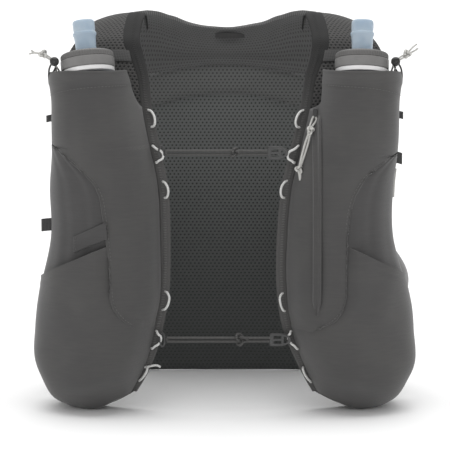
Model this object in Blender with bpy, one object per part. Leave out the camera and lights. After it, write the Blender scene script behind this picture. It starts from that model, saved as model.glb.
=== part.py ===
"""Running hydration vest with two soft flasks, as it sits on the shoulders.

Blender 4.5 script, metres, +Z up. The front of the vest faces -Y and +X is the viewer's right.
The origin is the seat on the shoulders, midway between the two shoulder straps.
A side of -1 is the viewer's left half and 1 is the right half.
"""
import math
from collections import namedtuple

import bmesh
import bpy
from mathutils import Matrix, Vector

# Overall sizes, from the seat on the shoulders
DROP = 0.370               # down to the lowest point
HALF_WIDTH = 0.182         # centre to the widest point of the lower pockets
FRONT_DEPTH = 0.098        # forward to the inner edges of the front panels
BACK_DEPTH = 0.084         # back to the middle of the back panel

# Walls of cloth and the gap between pieces
CLEARANCE = 0.0003
SEAM_GAP = 0.0019          # between cloth panels that share a curved seam
STACK_GAP = 0.0012         # between a curved face and a flat strip sewn on it
BINDING_GAP = 0.00095      # the same under the narrow edge binding
HARNESS_WALL = 0.003
POCKET_WALL = 0.0015
BINDING_WALL = 0.0012
PAD_WALL = 0.005
WING_WALL = 0.0015

# Harness and pockets
HARNESS_BOW = 0.008        # how far a front panel bows out between its edges
POCKET_BULGE = 0.056       # flask pocket's front off the harness at its mouth
POCKET_ROUNDNESS = 2.8     # 2 is an ellipse, more is squarer
POCKET_INSET = 0.0062      # harness left bare inside the pockets' inner edge
INSET_FADE = 0.7           # share of it lost at the bottom
INSET_FADE_START = 0.78    # share of DROP where it starts to narrow
BINDING_WIDTH = 0.003      # binding on the face of the harness
BINDING_OVERHANG = 0.0008
BAND_HEIGHT = 0.009        # web band across the shoulder strap
BOTTOM_DIP = 0.019         # sag of the rounded lower edge
HEM_PROUD = 0.0035         # how far the lower pocket's hem stands off the side panel
HEM_OVERLAP = 0.012        # side panel behind the lower pocket's hem

# Flasks
CAP_RADIUS = 0.0255
CAP_HEIGHT = 0.016
CAP_DROP = 0.1216          # underside of the cap, a share of DROP
CAP_OUT = 0.709            # cap's middle from the centre, a share of HALF_WIDTH
CAP_FORWARD = 0.9286       # a share of FRONT_DEPTH
FLASK_LEAN_BACK = 14.0     # degrees
COLLAR_HEIGHT = 0.0026
FLASK_FILL = 0.475         # half the flask body's depth as a share of its pocket's
NECK_RADIUS = 0.0195
VALVE_RADIUS = 0.0108
VALVE_HEIGHT = 0.031

# Back
BACK_HALF = 0.122          # half width of the upper back
BACK_HALF_LOW = 0.106      # half width of the back at its lower edge
BACK_WRAP = 0.018          # how far the sides of the back come forward
BACK_BOTTOM_DROP = 0.3685
NECK_DROP = 0.013          # top of the nape
NECK_BACK = 0.072
CREASE_DROP = 0.052        # crease under the yoke, at the middle
YOKE_LIFT = 0.0022         # yoke's lower edge above the crease
CREASE_FALL = 0.008        # more at the straps
ARC_DROP = 0.082           # arc seam under the upper back, at the middle
ARC_FALL = 0.036           # more at the sides
POUCH_HALF = 0.088
POUCH_TOP_DROP = 0.120
POUCH_BOTTOM_DROP = 0.352
POUCH_BULGE = 0.034

HANG_LOOP_X = 0.005
HANG_LOOP_LENGTH = 0.030
HANG_LOOP_WIDTH = 0.005
HANG_LOOP_DROP = 0.005     # below the top of the nape

# Side wings and the band on the left lower pocket
WING_TOP_DROP = 0.172
WING_BOTTOM_DROP = 0.325
WING_BOW = 0.045           # how far a wing bows out between its ends
WING_SEAM = 0.0024         # wing's outer face off the back's side edge
WING_SCOOP = 0.010         # how far its upper edge sags
KEEPER_DROPS = (0.1850, 0.2010)
KEEPER_SLOPE = 0.016       # how much lower its outer end sits
KEEPER_END = 0.142         # its outer end from the centre

# Right zip
ZIP_OUT = 0.4753           # zip from the centre of the vest, a share of HALF_WIDTH
ZIP_TOP_DROP = 0.090
ZIP_BOTTOM_DROP = 0.272
ZIP_WIDTH = 0.008
SLIDER_SIZE = (0.0040, 0.0045, 0.0065)
ZIP_PULL_SIDE = -0.0145    # the pull hangs towards the middle of the vest
ZIP_PULL_LENGTH = 0.042
PULL_KNOT_RADIUS = 0.0028
PULL_KNOT_STRETCH = 2.1
PULL_END_STRETCH = 1.5

# Sternum rings and hooks
RING_HALF_WIDTH = 0.0024
RING_HALF_HEIGHT = 0.0065
RING_WIRE = 0.0010
HOOK_HEIGHT = 0.0115
HOOK_THICKNESS = 0.0030
HOOK_BAR = 0.0030
HOOK_SLOT_END = 0.0085

# Cords
LOCK_GAP = 0.0012          # between the cap's rim and the cord lock
LOCK_PROUD = 0.009         # cord lock forward of the cap's middle
LOCK_RISE = 0.008          # and above its underside
TAIL_KNOT_OUT = 0.0105     # tail knot outboard of the lock
TAIL_KNOT_RISE = 0.0070
TAIL_KNOT_RADIUS = 0.0030
TAIL_LENGTH = 0.010
SIDE_CORD_DROPS = (0.140, 0.153, 0.168)
TAIL_RISE = {-1: 0.15, 1: 0.75}
LACE_RADIUS = 0.0010
LACE_REACH = 0.0112
DRAWCORD_RADIUS = 0.0008
STERNUM_RADIUS = 0.0014
STERNUM_SPREAD = 0.0017    # half the spacing of the doubled cord
LOCK_RADIUS = 0.0044
KNOT_RADIUS = 0.0033
ZIP_CORD_RADIUS = 0.0009

LEFT = -1
RIGHT = 1
SIDE_NAMES = {LEFT: "left", RIGHT: "right"}

# One row for each station of the harness, from the end of the strap on the back, over the
# shoulder and down the front. drop is a share of DROP. depth is a share of FRONT_DEPTH when
# positive and of BACK_DEPTH when negative. The four x columns are shares of HALF_WIDTH.
# out_back and out_drop say how much the outer edge lies behind and below the inner one, as
# shares of FRONT_DEPTH and DROP. bow, bulge and dip are shares of their named sizes.
Station = namedtuple("Station", "drop depth in_left in_right out_left out_right "
                                "out_back out_drop bow bulge dip")
HARNESS = [
    Station(0.159, -0.960, 0.440, 0.440, 0.665, 0.665, -0.14, 0.000, 0.0, 0.00, 0.0),
    Station(0.075, -0.900, 0.440, 0.440, 0.680, 0.680, -0.10, 0.020, 0.2, 0.00, 0.0),
    Station(0.006, -0.540, 0.440, 0.440, 0.695, 0.695, -0.02, 0.024, 0.3, 0.00, 0.0),
    Station(-0.011, 0.000, 0.444, 0.448, 0.703, 0.703, 0.02, 0.018, 0.4, 0.00, 0.0),
    Station(0.040, 0.430, 0.462, 0.472, 0.785, 0.795, 0.08, 0.012, 0.4, 0.00, 0.0),
    Station(0.085, 0.590, 0.443, 0.464, 0.835, 0.840, 0.14, 0.006, 0.5, 0.80, 0.0),
    Station(0.139, 0.720, 0.414, 0.435, 0.872, 0.872, 0.25, 0.000, 0.7, 1.00, 0.0),
    Station(0.227, 0.860, 0.391, 0.402, 0.846, 0.846, 0.38, 0.000, 1.0, 0.97, 0.0),
    Station(0.326, 0.980, 0.348, 0.353, 0.838, 0.835, 0.52, 0.000, 1.0, 0.90, 0.0),
    Station(0.429, 1.000, 0.307, 0.307, 0.870, 0.824, 0.56, 0.000, 1.0, 0.84, 0.0),
    Station(0.557, 1.000, 0.298, 0.284, 0.868, 0.835, 0.56, 0.000, 1.0, 0.84, 0.0),
    Station(0.689, 1.000, 0.304, 0.284, 0.930, 0.918, 0.54, 0.000, 1.0, 0.92, 0.0),
    Station(0.795, 0.990, 0.342, 0.319, 0.965, 0.962, 0.52, 0.000, 1.0, 0.94, 0.1),
    Station(0.890, 0.970, 0.402, 0.400, 0.958, 0.965, 0.50, 0.000, 1.0, 0.86, 0.5),
    Station(0.960, 0.930, 0.481, 0.476, 0.890, 0.905, 0.40, -0.012, 0.8, 0.28, 1.0),
]
RIDGE_ROW = 3
LAST_ROW = len(HARNESS) - 1
STRAP_ROWS = 30

# Seam between the chest pocket and the side panel, on the pockets' outer face: drop is a share
# of DROP and out is the distance from the vest's centre, a share of HALF_WIDTH. It starts at
# the outer edge and ends at the inner one.
SeamRow = namedtuple("SeamRow", "drop out")
SEAM = {
    LEFT: [SeamRow(0.314, 0.885), SeamRow(0.340, 0.813), SeamRow(0.370, 0.738),
           SeamRow(0.403, 0.668), SeamRow(0.440, 0.632), SeamRow(0.492, 0.618),
           SeamRow(0.592, 0.596), SeamRow(0.695, 0.588), SeamRow(0.722, 0.572),
           SeamRow(0.746, 0.537), SeamRow(0.765, 0.495), SeamRow(0.786, 0.425)],
    RIGHT: [SeamRow(0.334, 0.885), SeamRow(0.359, 0.795), SeamRow(0.385, 0.720),
            SeamRow(0.433, 0.663), SeamRow(0.478, 0.638), SeamRow(0.516, 0.630),
            SeamRow(0.600, 0.627), SeamRow(0.695, 0.624), SeamRow(0.726, 0.608),
            SeamRow(0.751, 0.565), SeamRow(0.767, 0.510), SeamRow(0.788, 0.440)],
}
# Hem of the lower pocket: drop as a share of DROP, at the seam and at the outer edge
Hem = namedtuple("Hem", "seam_drop outer_drop")
HEM = {LEFT: Hem(0.560, 0.665), RIGHT: Hem(0.562, 0.665)}
MOUTH_DROP = 0.126                          # flask pocket's mouth, a share of DROP
MOUTH_FALL = 0.014                          # more at its outer corner, a share of DROP
MOUTH_CORNER = 0.005                        # mouth's inner corner outboard of the pocket edge

# Visible loops of each lace: drops are shares of DROP, reach is a share of LACE_REACH
LaceLoop = namedtuple("LaceLoop", "start tip end reach")
LACE_LOOPS = {
    LEFT: [LaceLoop(0.226, 0.248, 0.270, 0.82), LaceLoop(0.316, 0.336, 0.358, 1.10),
           LaceLoop(0.406, 0.427, 0.450, 0.75), LaceLoop(0.692, 0.713, 0.742, 0.80),
           LaceLoop(0.796, 0.818, 0.842, 0.86), LaceLoop(0.890, 0.908, 0.930, 0.30)],
    RIGHT: [LaceLoop(0.227, 0.252, 0.271, 0.92), LaceLoop(0.316, 0.336, 0.358, 1.10),
            LaceLoop(0.404, 0.424, 0.450, 0.88), LaceLoop(0.697, 0.714, 0.746, 0.50),
            LaceLoop(0.797, 0.816, 0.843, 0.55), LaceLoop(0.892, 0.912, 0.933, 0.28)],
}

# Sternum straps: the lace loop that each end holds, how far the strap stands above and in
# front of the loops' tips, its ends' reach over the tips, and the knot's share of its length
Sternum = namedtuple("Sternum", "name loop rise proud ring_over hook_over hook_length knot")
STERNUMS = [
    Sternum("upper", 1, 0.0019, 0.0011, -0.0006, 0.0013, 0.0185, 0.69),
    Sternum("lower", 4, 0.0001, 0.0020, 0.0024, -0.0008, 0.0195, 0.73),
]

# Fabric tabs at the outer edges: width and height are real sizes, root is how far the
# tab's sewn end stands outside the pocket's rim
Tab = namedtuple("Tab", "name side drop width height root")
TABS = [
    Tab("side_tab_upper_left", LEFT, 0.247, 0.0070, 0.0065, -0.0006),
    Tab("side_tab_lower_left", LEFT, 0.524, 0.0130, 0.0120, -0.0015),
    Tab("side_tab_upper_right", RIGHT, 0.238, 0.0060, 0.0070, -0.0006),
    Tab("side_tab_lower_right", RIGHT, 0.348, 0.0060, 0.0110, 0.0006),
]
TAB_THICKNESS = 0.0016

for old in list(bpy.data.objects):
    bpy.data.objects.remove(old, do_unlink=True)


def material(name, red, green, blue, roughness, metallic=0.0):
    """Principled material from linear colour values."""
    made = bpy.data.materials.new(name)
    made.use_nodes = True
    shader = made.node_tree.nodes["Principled BSDF"]
    shader.inputs["Base Color"].default_value = (red, green, blue, 1.0)
    shader.inputs["Roughness"].default_value = roughness
    shader.inputs["Metallic"].default_value = metallic
    made.diffuse_color = (red, green, blue, 1.0)
    return made


DARK_CLOTH = material("dark grey pocket cloth", 0.085, 0.085, 0.085, 0.8)
MESH_CLOTH = material("open strap mesh", 0.070, 0.070, 0.070, 0.9)
BACK_CLOTH = material("perforated back mesh", 0.060, 0.060, 0.062, 0.9)
BINDING = material("smooth edge binding", 0.050, 0.050, 0.052, 0.6)
DARK_CORD = material("dark braided cord", 0.040, 0.040, 0.042, 0.7)
WHITE_LACE = material("white lace", 0.700, 0.700, 0.700, 0.8)
GREY_CORD = material("light grey cord", 0.520, 0.520, 0.520, 0.8)
DARK_PLASTIC = material("dark plastic", 0.045, 0.045, 0.045, 0.45)
CAP_PLASTIC = material("grey cap plastic", 0.230, 0.230, 0.230, 0.45)
VALVE_SILICONE = material("pale blue silicone", 0.420, 0.500, 0.560, 0.35)
COLLAR_PLASTIC = material("white collar plastic", 0.700, 0.700, 0.710, 0.4)
FLASK_FILM = material("clear flask film", 0.500, 0.540, 0.570, 0.3)


def add_object(name, data, surface):
    """Put a mesh or curve into the scene under its own name, with one material."""
    data.materials.append(surface)
    item = bpy.data.objects.new(name, data)
    bpy.context.scene.collection.objects.link(item)
    return item


def add_mesh(name, bm, surface, smooth=True):
    """Turn a bmesh into a named object."""
    mesh = bpy.data.meshes.new(name)
    bm.to_mesh(mesh)
    bm.free()
    if smooth:
        mesh.shade_smooth()
        mesh.set_sharp_from_angle(angle=math.radians(40))
    return add_object(name, mesh, surface)


def sheet(name, columns, rows, place, wall, surface, flip=False):
    """Cloth of one wall thickness whose outer face is place(a, b), a and b from 0 to 1."""
    bm = bmesh.new()
    bmesh.ops.create_grid(bm, x_segments=columns, y_segments=rows, size=0.5)
    for vert in bm.verts:
        vert.co = place(vert.co.x + 0.5, vert.co.y + 0.5)
    if flip:
        bmesh.ops.reverse_faces(bm, faces=bm.faces)
    item = add_mesh(name, bm, surface)
    solid = item.modifiers.new("wall", "SOLIDIFY")
    solid.thickness = wall
    solid.offset = -1.0
    return item


def turned(name, profile, frame, sides, surface):
    """Solid of revolution; profile is a list of (radius, height) from one end to the other."""
    bm = bmesh.new()
    rings = []
    for radius, height in profile:
        if radius == 0.0:
            rings.append([bm.verts.new(frame @ Vector((0.0, 0.0, height)))])
            continue
        ring = []
        for k in range(sides):
            angle = 2.0 * math.pi * k / sides
            local = Vector((radius * math.cos(angle), radius * math.sin(angle), height))
            ring.append(bm.verts.new(frame @ local))
        rings.append(ring)
    for low, high in zip(rings, rings[1:]):
        for k in range(sides):
            after = (k + 1) % sides
            if len(low) == 1:
                bm.faces.new((low[0], high[after], high[k]))
            elif len(high) == 1:
                bm.faces.new((low[k], low[after], high[0]))
            else:
                bm.faces.new((low[k], low[after], high[after], high[k]))
    bmesh.ops.recalc_face_normals(bm, faces=bm.faces)
    return add_mesh(name, bm, surface)


def smooth_route(points, spacing):
    """Points at an even spacing along a smooth curve through a few chosen points."""
    dense = []
    last = len(points) - 1
    for k in range(last):
        a = points[max(k - 1, 0)]
        b = points[k]
        c = points[k + 1]
        d = points[min(k + 2, last)]
        for step in range(12):
            f = step / 12
            bend = 2 * a - 5 * b + 4 * c - d + f * (3 * (b - c) + d - a)
            dense.append(b + 0.5 * f * (c - a + f * bend))
    dense.append(points[last])
    lengths = [0.0]
    for before, here in zip(dense, dense[1:]):
        lengths.append(lengths[-1] + (here - before).length)
    count = max(2, round(lengths[-1] / spacing))
    route = []
    k = 0
    for step in range(count + 1):
        target = lengths[-1] * step / count
        while k < len(lengths) - 2 and lengths[k + 1] < target:
            k += 1
        span = max(lengths[k + 1] - lengths[k], 1e-9)
        route.append(dense[k].lerp(dense[k + 1], (target - lengths[k]) / span))
    return route


def cord(name, points, radius, surface, spacing=2.5):
    """Round cord along a smooth route, with flat ends."""
    route = smooth_route([Vector(point) for point in points], spacing * 2 * radius)
    curve = bpy.data.curves.new(name, "CURVE")
    curve.dimensions = "3D"
    curve.bevel_depth = radius
    curve.bevel_resolution = 2
    curve.use_fill_caps = True
    spline = curve.splines.new("POLY")
    spline.points.add(len(route) - 1)
    for point, place in zip(spline.points, route):
        point.co = (place.x, place.y, place.z, 1.0)
    return add_object(name, curve, surface)


def column(rows, name, position):
    """Smooth value of one column of a table at a fractional row."""
    last = len(rows) - 1
    position = min(max(position, 0.0), float(last))
    k = min(int(position), last - 1)
    f = position - k
    a, b, c, d = (getattr(rows[min(max(k + step, 0), last)], name) for step in (-1, 0, 1, 2))
    bend = 2 * a - 5 * b + 4 * c - d + f * (3 * (b - c) + d - a)
    return b + 0.5 * f * (c - a + f * bend)


def harness_edges(side, run):
    """Inner and outer edge of a harness at a fractional station."""
    hand = SIDE_NAMES[side]
    depth = column(HARNESS, "depth", run)
    y = -depth * (FRONT_DEPTH if depth > 0 else BACK_DEPTH)
    z = -DROP * column(HARNESS, "drop", run)
    inner = Vector((side * HALF_WIDTH * column(HARNESS, "in_" + hand, run), y, z))
    outer = Vector((side * HALF_WIDTH * column(HARNESS, "out_" + hand, run),
                    y + FRONT_DEPTH * column(HARNESS, "out_back", run),
                    z - DROP * column(HARNESS, "out_drop", run)))
    return inner, outer


def harness_normal(side, run):
    """Outward direction of a harness at a fractional station."""
    before = harness_edges(side, max(run - 0.25, 0.0))
    after = harness_edges(side, min(run + 0.25, LAST_ROW))
    inner, outer = harness_edges(side, run)
    along = (after[0] + after[1]) - (before[0] + before[1])
    return (side * along.cross(outer - inner)).normalized()


def harness_point(side, across, run, lift=0.0):
    """Point on the outer face of a harness, or above it; across is 0 inside and 1 outside."""
    inner, outer = harness_edges(side, run)
    inside = min(max(across, 0.0), 1.0)
    bow = HARNESS_BOW * column(HARNESS, "bow", run) * 4 * inside * (1 - inside)
    point = inner.lerp(outer, across) + harness_normal(side, run) * (bow + lift)
    point.z -= BOTTOM_DIP * column(HARNESS, "dip", run) * math.sin(math.pi * inside)
    return point


def run_at(drop):
    """Station on the front whose inner edge lies at this drop."""
    low, high = float(RIDGE_ROW), float(LAST_ROW)
    for _ in range(40):
        middle = 0.5 * (low + high)
        if DROP * column(HARNESS, "drop", middle) < drop:
            low = middle
        else:
            high = middle
    return 0.5 * (low + high)


def chord_width(side, run):
    """Straight width of a harness at a station."""
    inner, outer = harness_edges(side, run)
    return (outer - inner).length


def pocket_inset(run):
    """Width of bare harness inside the pockets' inner edge at a station."""
    past = max(0.0, column(HARNESS, "drop", run) - INSET_FADE_START)
    return POCKET_INSET * (1 - INSET_FADE * past / (1 - INSET_FADE_START))


def pocket_point(side, across, run, lift=0.0, swell=1.0):
    """Point on the outer face of the pockets; across is 0 at the pocket's inner edge."""
    across = min(max(across, 0.0), 1.0)
    inset = pocket_inset(run) / chord_width(side, run)
    bend = abs(2 * across - 1) ** POCKET_ROUNDNESS
    profile = (1 - bend) ** (1 / POCKET_ROUNDNESS)
    bulge = POCKET_BULGE * column(HARNESS, "bulge", run) * profile
    seat = CLEARANCE + POCKET_WALL + (2 * LACE_RADIUS + CLEARANCE) * max(0.0, 1 - 4 * across)
    level = harness_normal(side, run)
    level.z = 0.0
    base = harness_point(side, inset + (0.99 - inset) * across, run, seat)
    return base + level.normalized() * (bulge * swell + lift)


def over_pocket(side, across, run, height):
    """Point at a true height off the pocket's outer face."""
    step = 0.02
    down = pocket_point(side, across, run + step) - pocket_point(side, across, run - step)
    wide = pocket_point(side, across + step, run) - pocket_point(side, across - step, run)
    return pocket_point(side, across, run) + (side * down.cross(wide)).normalized() * height


def pocket_floor(side, across, run):
    """Point on the harness behind a pocket point."""
    inset = pocket_inset(run) / chord_width(side, run)
    return harness_point(side, inset + (0.99 - inset) * across, run, CLEARANCE)


def across_at(side, run, out):
    """Across share of the pocket's face at a distance from the vest's centre."""
    low, high = 0.0, 0.88
    for _ in range(24):
        middle = 0.5 * (low + high)
        if side * pocket_point(side, middle, run).x < out:
            low = middle
        else:
            high = middle
    return 0.5 * (low + high)


def seam_across(side, run):
    """Across share of the chest pocket's seam at a station."""
    rows = SEAM[side]
    share = column(HARNESS, "drop", run)
    if share <= rows[0].drop:
        return 1.0
    for before, after in zip(rows, rows[1:]):
        if share <= after.drop:
            f = (share - before.drop) / (after.drop - before.drop)
            out = before.out + f * (after.out - before.out)
            return max(across_at(side, run, HALF_WIDTH * out), 0.03)
    return 0.0


def back_y(x):
    """Inner face of the back at a distance from its middle."""
    return BACK_DEPTH - BACK_WRAP * (abs(x) / BACK_HALF) ** 4


def crease_z(x):
    """Crease between the yoke and the upper back."""
    return -CREASE_DROP - CREASE_FALL * min(1.0, abs(x) / (0.44 * HALF_WIDTH)) ** 2


def arc_z(x):
    """Arc seam under the upper back."""
    return -ARC_DROP - ARC_FALL * (x / BACK_HALF) ** 2


def back_half(z):
    """Half width of the back at a height."""
    f = min(max((-z - ARC_DROP) / (BACK_BOTTOM_DROP - ARC_DROP), 0.0), 1.0)
    return BACK_HALF + (BACK_HALF_LOW - BACK_HALF) * f


def make_harness(side):
    """Shoulder strap and front panel, and what is sewn flat on them."""
    hand = SIDE_NAMES[side]
    flip = side == RIGHT
    sheet("harness_" + hand, 4, STRAP_ROWS,
          lambda a, b: harness_point(side, a, b * LAST_ROW), HARNESS_WALL, MESH_CLOTH, flip)

    def binding(a, b):
        run = RIDGE_ROW - 0.05 + b * (LAST_ROW - RIDGE_ROW + 0.05)
        across = (a * (BINDING_WIDTH + BINDING_OVERHANG) - BINDING_OVERHANG)
        across /= chord_width(side, run)
        return harness_point(side, across, run, BINDING_GAP + BINDING_WALL)

    sheet("edge_binding_" + hand, 1, STRAP_ROWS, binding, BINDING_WALL, BINDING, flip)

    def band(a, b):
        top = run_at(0.080 * DROP)
        low = run_at(0.080 * DROP + BAND_HEIGHT)
        run = top + (low - top) * b
        start = (BINDING_WIDTH + 2 * CLEARANCE) / chord_width(side, run)
        return harness_point(side, start + (0.97 - start) * a, run, STACK_GAP + POCKET_WALL)

    sheet("strap_band_" + hand, 5, 1, band, POCKET_WALL, BINDING, flip)


def make_pockets(side):
    """Chest pocket with its mouth, side panel and lower pocket, all on one bulging surface."""
    hand = SIDE_NAMES[side]
    flip = side == RIGHT
    seam = SEAM[side]
    chest_end = run_at(seam[-1].drop * DROP - 2 * SEAM_GAP)
    bottom = LAST_ROW - 0.02

    def chest(a, b):
        mouth = run_at((MOUTH_DROP + MOUTH_FALL * max(0.0, 2 * a - 1) ** 2) * DROP)
        run = mouth + (chest_end - mouth) * b
        corner = MOUTH_CORNER / chord_width(side, run) * max(0.0, 1 - 9 * b) ** 2
        a = 0.5 - 0.5 * math.cos(math.pi * a)
        outer = seam_across(side, run)
        if outer < 1.0:
            outer -= 0.5 * SEAM_GAP / chord_width(side, run)
        return pocket_point(side, corner + (outer - corner) * a, run)

    sheet("chest_pocket_" + hand, 8, 24, chest, POCKET_WALL, DARK_CLOTH, flip)

    panel_top = run_at(seam[0].drop * DROP + 0.001)

    def hem_run(a):
        share = HEM[side].seam_drop + (HEM[side].outer_drop - HEM[side].seam_drop) * a
        return run_at(share * DROP)

    def outboard(a, run, gap=SEAM_GAP):
        inner = seam_across(side, run) + 0.5 * gap / chord_width(side, run)
        return inner + (1.0 - inner) * a

    def panel(a, b):
        tuck = HEM_OVERLAP * (1 - a ** 4) - SEAM_GAP * a ** 4
        low = run_at(DROP * column(HARNESS, "drop", hem_run(a)) + tuck)
        run = panel_top + (low - panel_top) * b
        return pocket_point(side, outboard(a, run, SEAM_GAP * (1 + 3 * (1 - b) ** 3)), run)

    sheet("side_panel_" + hand, 6, 7, panel, POCKET_WALL, DARK_CLOTH, flip)

    def lower(a, b):
        top = hem_run(a)
        run = top + (bottom - top) * min(1.0, b / 0.8)
        proud = max(0.0, 1 - 3.2 * b)
        under = max(0.0, (b - 0.8) / 0.2)
        side_taper = math.sin(math.pi * min(max(a, 0.06), 0.94)) ** 0.5
        lift = (POCKET_WALL + CLEARANCE) * min(1.0, 2 * proud) + HEM_PROUD * proud ** 2 * side_taper
        return pocket_point(side, outboard(a, run), run, lift, math.cos(0.5 * math.pi * under))

    sheet("lower_pocket_" + hand, 8, 15, lower, POCKET_WALL, DARK_CLOTH, flip)


def flask_frame(side):
    """Placement of a flask: its own Z runs up the flask, from the underside of its cap."""
    lean_out = 6.5 if side == LEFT else 1.5
    turn = (Matrix.Rotation(math.radians(side * lean_out), 4, "Y")
            @ Matrix.Rotation(math.radians(-FLASK_LEAN_BACK), 4, "X"))
    place = (side * HALF_WIDTH * CAP_OUT, -FRONT_DEPTH * CAP_FORWARD, -DROP * CAP_DROP)
    return Matrix.Translation(place) @ turn


def make_flask(side):
    """Soft flask: body in the pocket, collar, screw cap and bite valve."""
    hand = SIDE_NAMES[side]
    frame = flask_frame(side)
    r, h = CAP_RADIUS, CAP_HEIGHT
    turned("flask_cap_" + hand,
           [(0.0, 0.0), (r, 0.0), (r, 0.62 * h), (r - 0.0006, 0.64 * h), (r - 0.0006, 0.88 * h),
            (r - 0.0032, h), (0.0, h)], frame, 24, CAP_PLASTIC)
    low = -CLEARANCE - COLLAR_HEIGHT
    turned("flask_collar_" + hand,
           [(0.0, low), (r - 0.0012, low), (r - 0.0012, -CLEARANCE), (0.0, -CLEARANCE)],
           frame, 24, COLLAR_PLASTIC)
    v, top = VALVE_RADIUS, h + CLEARANCE
    turned("bite_valve_" + hand,
           [(0.0, top), (0.86 * v, top), (0.88 * v, top + 0.45 * VALVE_HEIGHT),
            (v, top + 0.55 * VALVE_HEIGHT), (v, top + 0.68 * VALVE_HEIGHT),
            (0.93 * v, top + 0.74 * VALVE_HEIGHT), (0.90 * v, top + 0.92 * VALVE_HEIGHT),
            (0.70 * v, top + VALVE_HEIGHT), (0.0, top + VALVE_HEIGHT)], frame, 16, VALVE_SILICONE)

    sides, rings = 16, []
    neck = frame @ Matrix.Translation((0.0, 0.0, low - CLEARANCE))
    bm = bmesh.new()
    for ring_drop in (0.0, 0.003):
        ring = []
        for k in range(sides):
            angle = 2 * math.pi * k / sides
            local = Vector((NECK_RADIUS * math.cos(angle), -NECK_RADIUS * math.sin(angle),
                            -ring_drop))
            ring.append(bm.verts.new(neck @ local))
        rings.append(ring)
    first, last = run_at(0.165 * DROP), run_at(0.50 * DROP)
    for step in range(7):
        f = step / 6
        run = first + (last - first) * f
        reach = 0.38 - 0.20 * f
        ring = []
        for k in range(sides):
            angle = 2 * math.pi * k / sides
            across = 0.5 - 0.14 * f + reach * math.cos(angle)
            share = 0.5 + FLASK_FILL * math.sin(angle) * (1.0 if f < 0.9 else 0.6)
            low_point = pocket_floor(side, across, run)
            high_point = pocket_point(side, across, run, -POCKET_WALL)
            ring.append(bm.verts.new(low_point.lerp(high_point, share)))
        if side == LEFT:
            half = sides // 2
            ring = [ring[(half - k) % sides] for k in range(sides)]
        rings.append(ring)
    for above, below in zip(rings, rings[1:]):
        for k in range(sides):
            after = (k + 1) % sides
            bm.faces.new((above[k], above[after], below[after], below[k]))
    bm.faces.new(rings[0])
    bm.faces.new(rings[-1])
    bmesh.ops.recalc_face_normals(bm, faces=bm.faces)
    add_mesh("flask_body_" + hand, bm, FLASK_FILM)


def make_back():
    """Yoke behind the neck, upper back, main back panel, hang loop and rear pouch."""
    strap_top = RIDGE_ROW - 0.15

    def yoke(a, b):
        share = 2 * a - 1
        run = strap_top * (1 - b)
        edge = harness_point(RIGHT if share > 0 else LEFT, 0.025, run, 4 * CLEARANCE)
        inner = abs(edge.x)
        x = share * inner
        low = Vector((x, back_y(x), crease_z(x) + YOKE_LIFT))
        neck = Vector((x, NECK_BACK, -NECK_DROP))
        middle = neck.lerp(low, b)
        middle.y += 0.003 * math.sin(math.pi * b)
        hold = abs(share) ** 2.5
        return Vector((x, middle.y + (edge.y - middle.y) * hold,
                       middle.z + (edge.z + CLEARANCE - middle.z) * hold))

    sheet("neck_yoke", 12, 7, yoke, PAD_WALL, BACK_CLOTH, True)

    def upper(a, b):
        x = (2 * a - 1) * BACK_HALF
        top = crease_z(x) - CLEARANCE
        z = top + (arc_z(x) + CLEARANCE - top) * b
        return Vector((x, back_y(x) - 0.002 * math.sin(math.pi * b), z))

    sheet("upper_back", 12, 2, upper, PAD_WALL, BACK_CLOTH, True)

    def panel(a, b):
        share = 2 * a - 1
        top = arc_z(share * BACK_HALF) - CLEARANCE
        z = top + (-BACK_BOTTOM_DROP - top) * b
        x = share * back_half(z)
        return Vector((x, back_y(x), z))

    sheet("back_panel", 10, 7, panel, PAD_WALL, BACK_CLOTH, True)

    def pouch(a, b):
        share = 2 * a - 1
        z = -POUCH_TOP_DROP - (POUCH_BOTTOM_DROP - POUCH_TOP_DROP) * b
        x = share * POUCH_HALF
        swell = (1 - abs(share) ** 4) * (1 - b ** 5) ** 0.8 * (0.62 + 0.38 * math.sin(math.pi * b))
        return Vector((x, back_y(x) + PAD_WALL + CLEARANCE + POCKET_WALL + POUCH_BULGE * swell, z))

    sheet("rear_pouch", 10, 6, pouch, POCKET_WALL, DARK_CLOTH)

    def loop(a, b):
        x = HANG_LOOP_X + (a - 0.5) * HANG_LOOP_LENGTH
        z = -NECK_DROP - HANG_LOOP_DROP - HANG_LOOP_WIDTH * b
        f = (-z - NECK_DROP) / (CREASE_DROP - NECK_DROP)
        face = NECK_BACK + (back_y(x) - NECK_BACK) * f
        return Vector((x, face - CLEARANCE - POCKET_WALL - 0.003 * math.sin(math.pi * a), z))

    sheet("hang_loop", 6, 1, loop, POCKET_WALL, BINDING, True)


def make_wing(side):
    """Stretch panel from the front panel's outer edge round to the back panel's side."""
    hand = SIDE_NAMES[side]

    def wing(a, b):
        z = -WING_TOP_DROP - (WING_BOTTOM_DROP - WING_TOP_DROP) * b
        run = run_at(-z)
        front = harness_edges(side, run)[1]
        back_x = back_half(z)
        start = Vector((abs(front.x) - HARNESS_WALL, front.y + HARNESS_WALL + 0.004))
        end = Vector((back_x + WING_SEAM, back_y(back_x) + 0.5 * PAD_WALL))
        plan = start.lerp(end, a)
        plan.x += WING_BOW * (math.sin(math.pi * b) ** 1.4) * math.sin(math.pi * a) ** 0.6
        top_scoop = WING_SCOOP * (1 - b) * math.sin(math.pi * a)
        return Vector((side * plan.x, plan.y, z - top_scoop))

    sheet("side_wing_" + hand, 7, 6, wing, WING_WALL, BACK_CLOTH, side == RIGHT)


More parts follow.
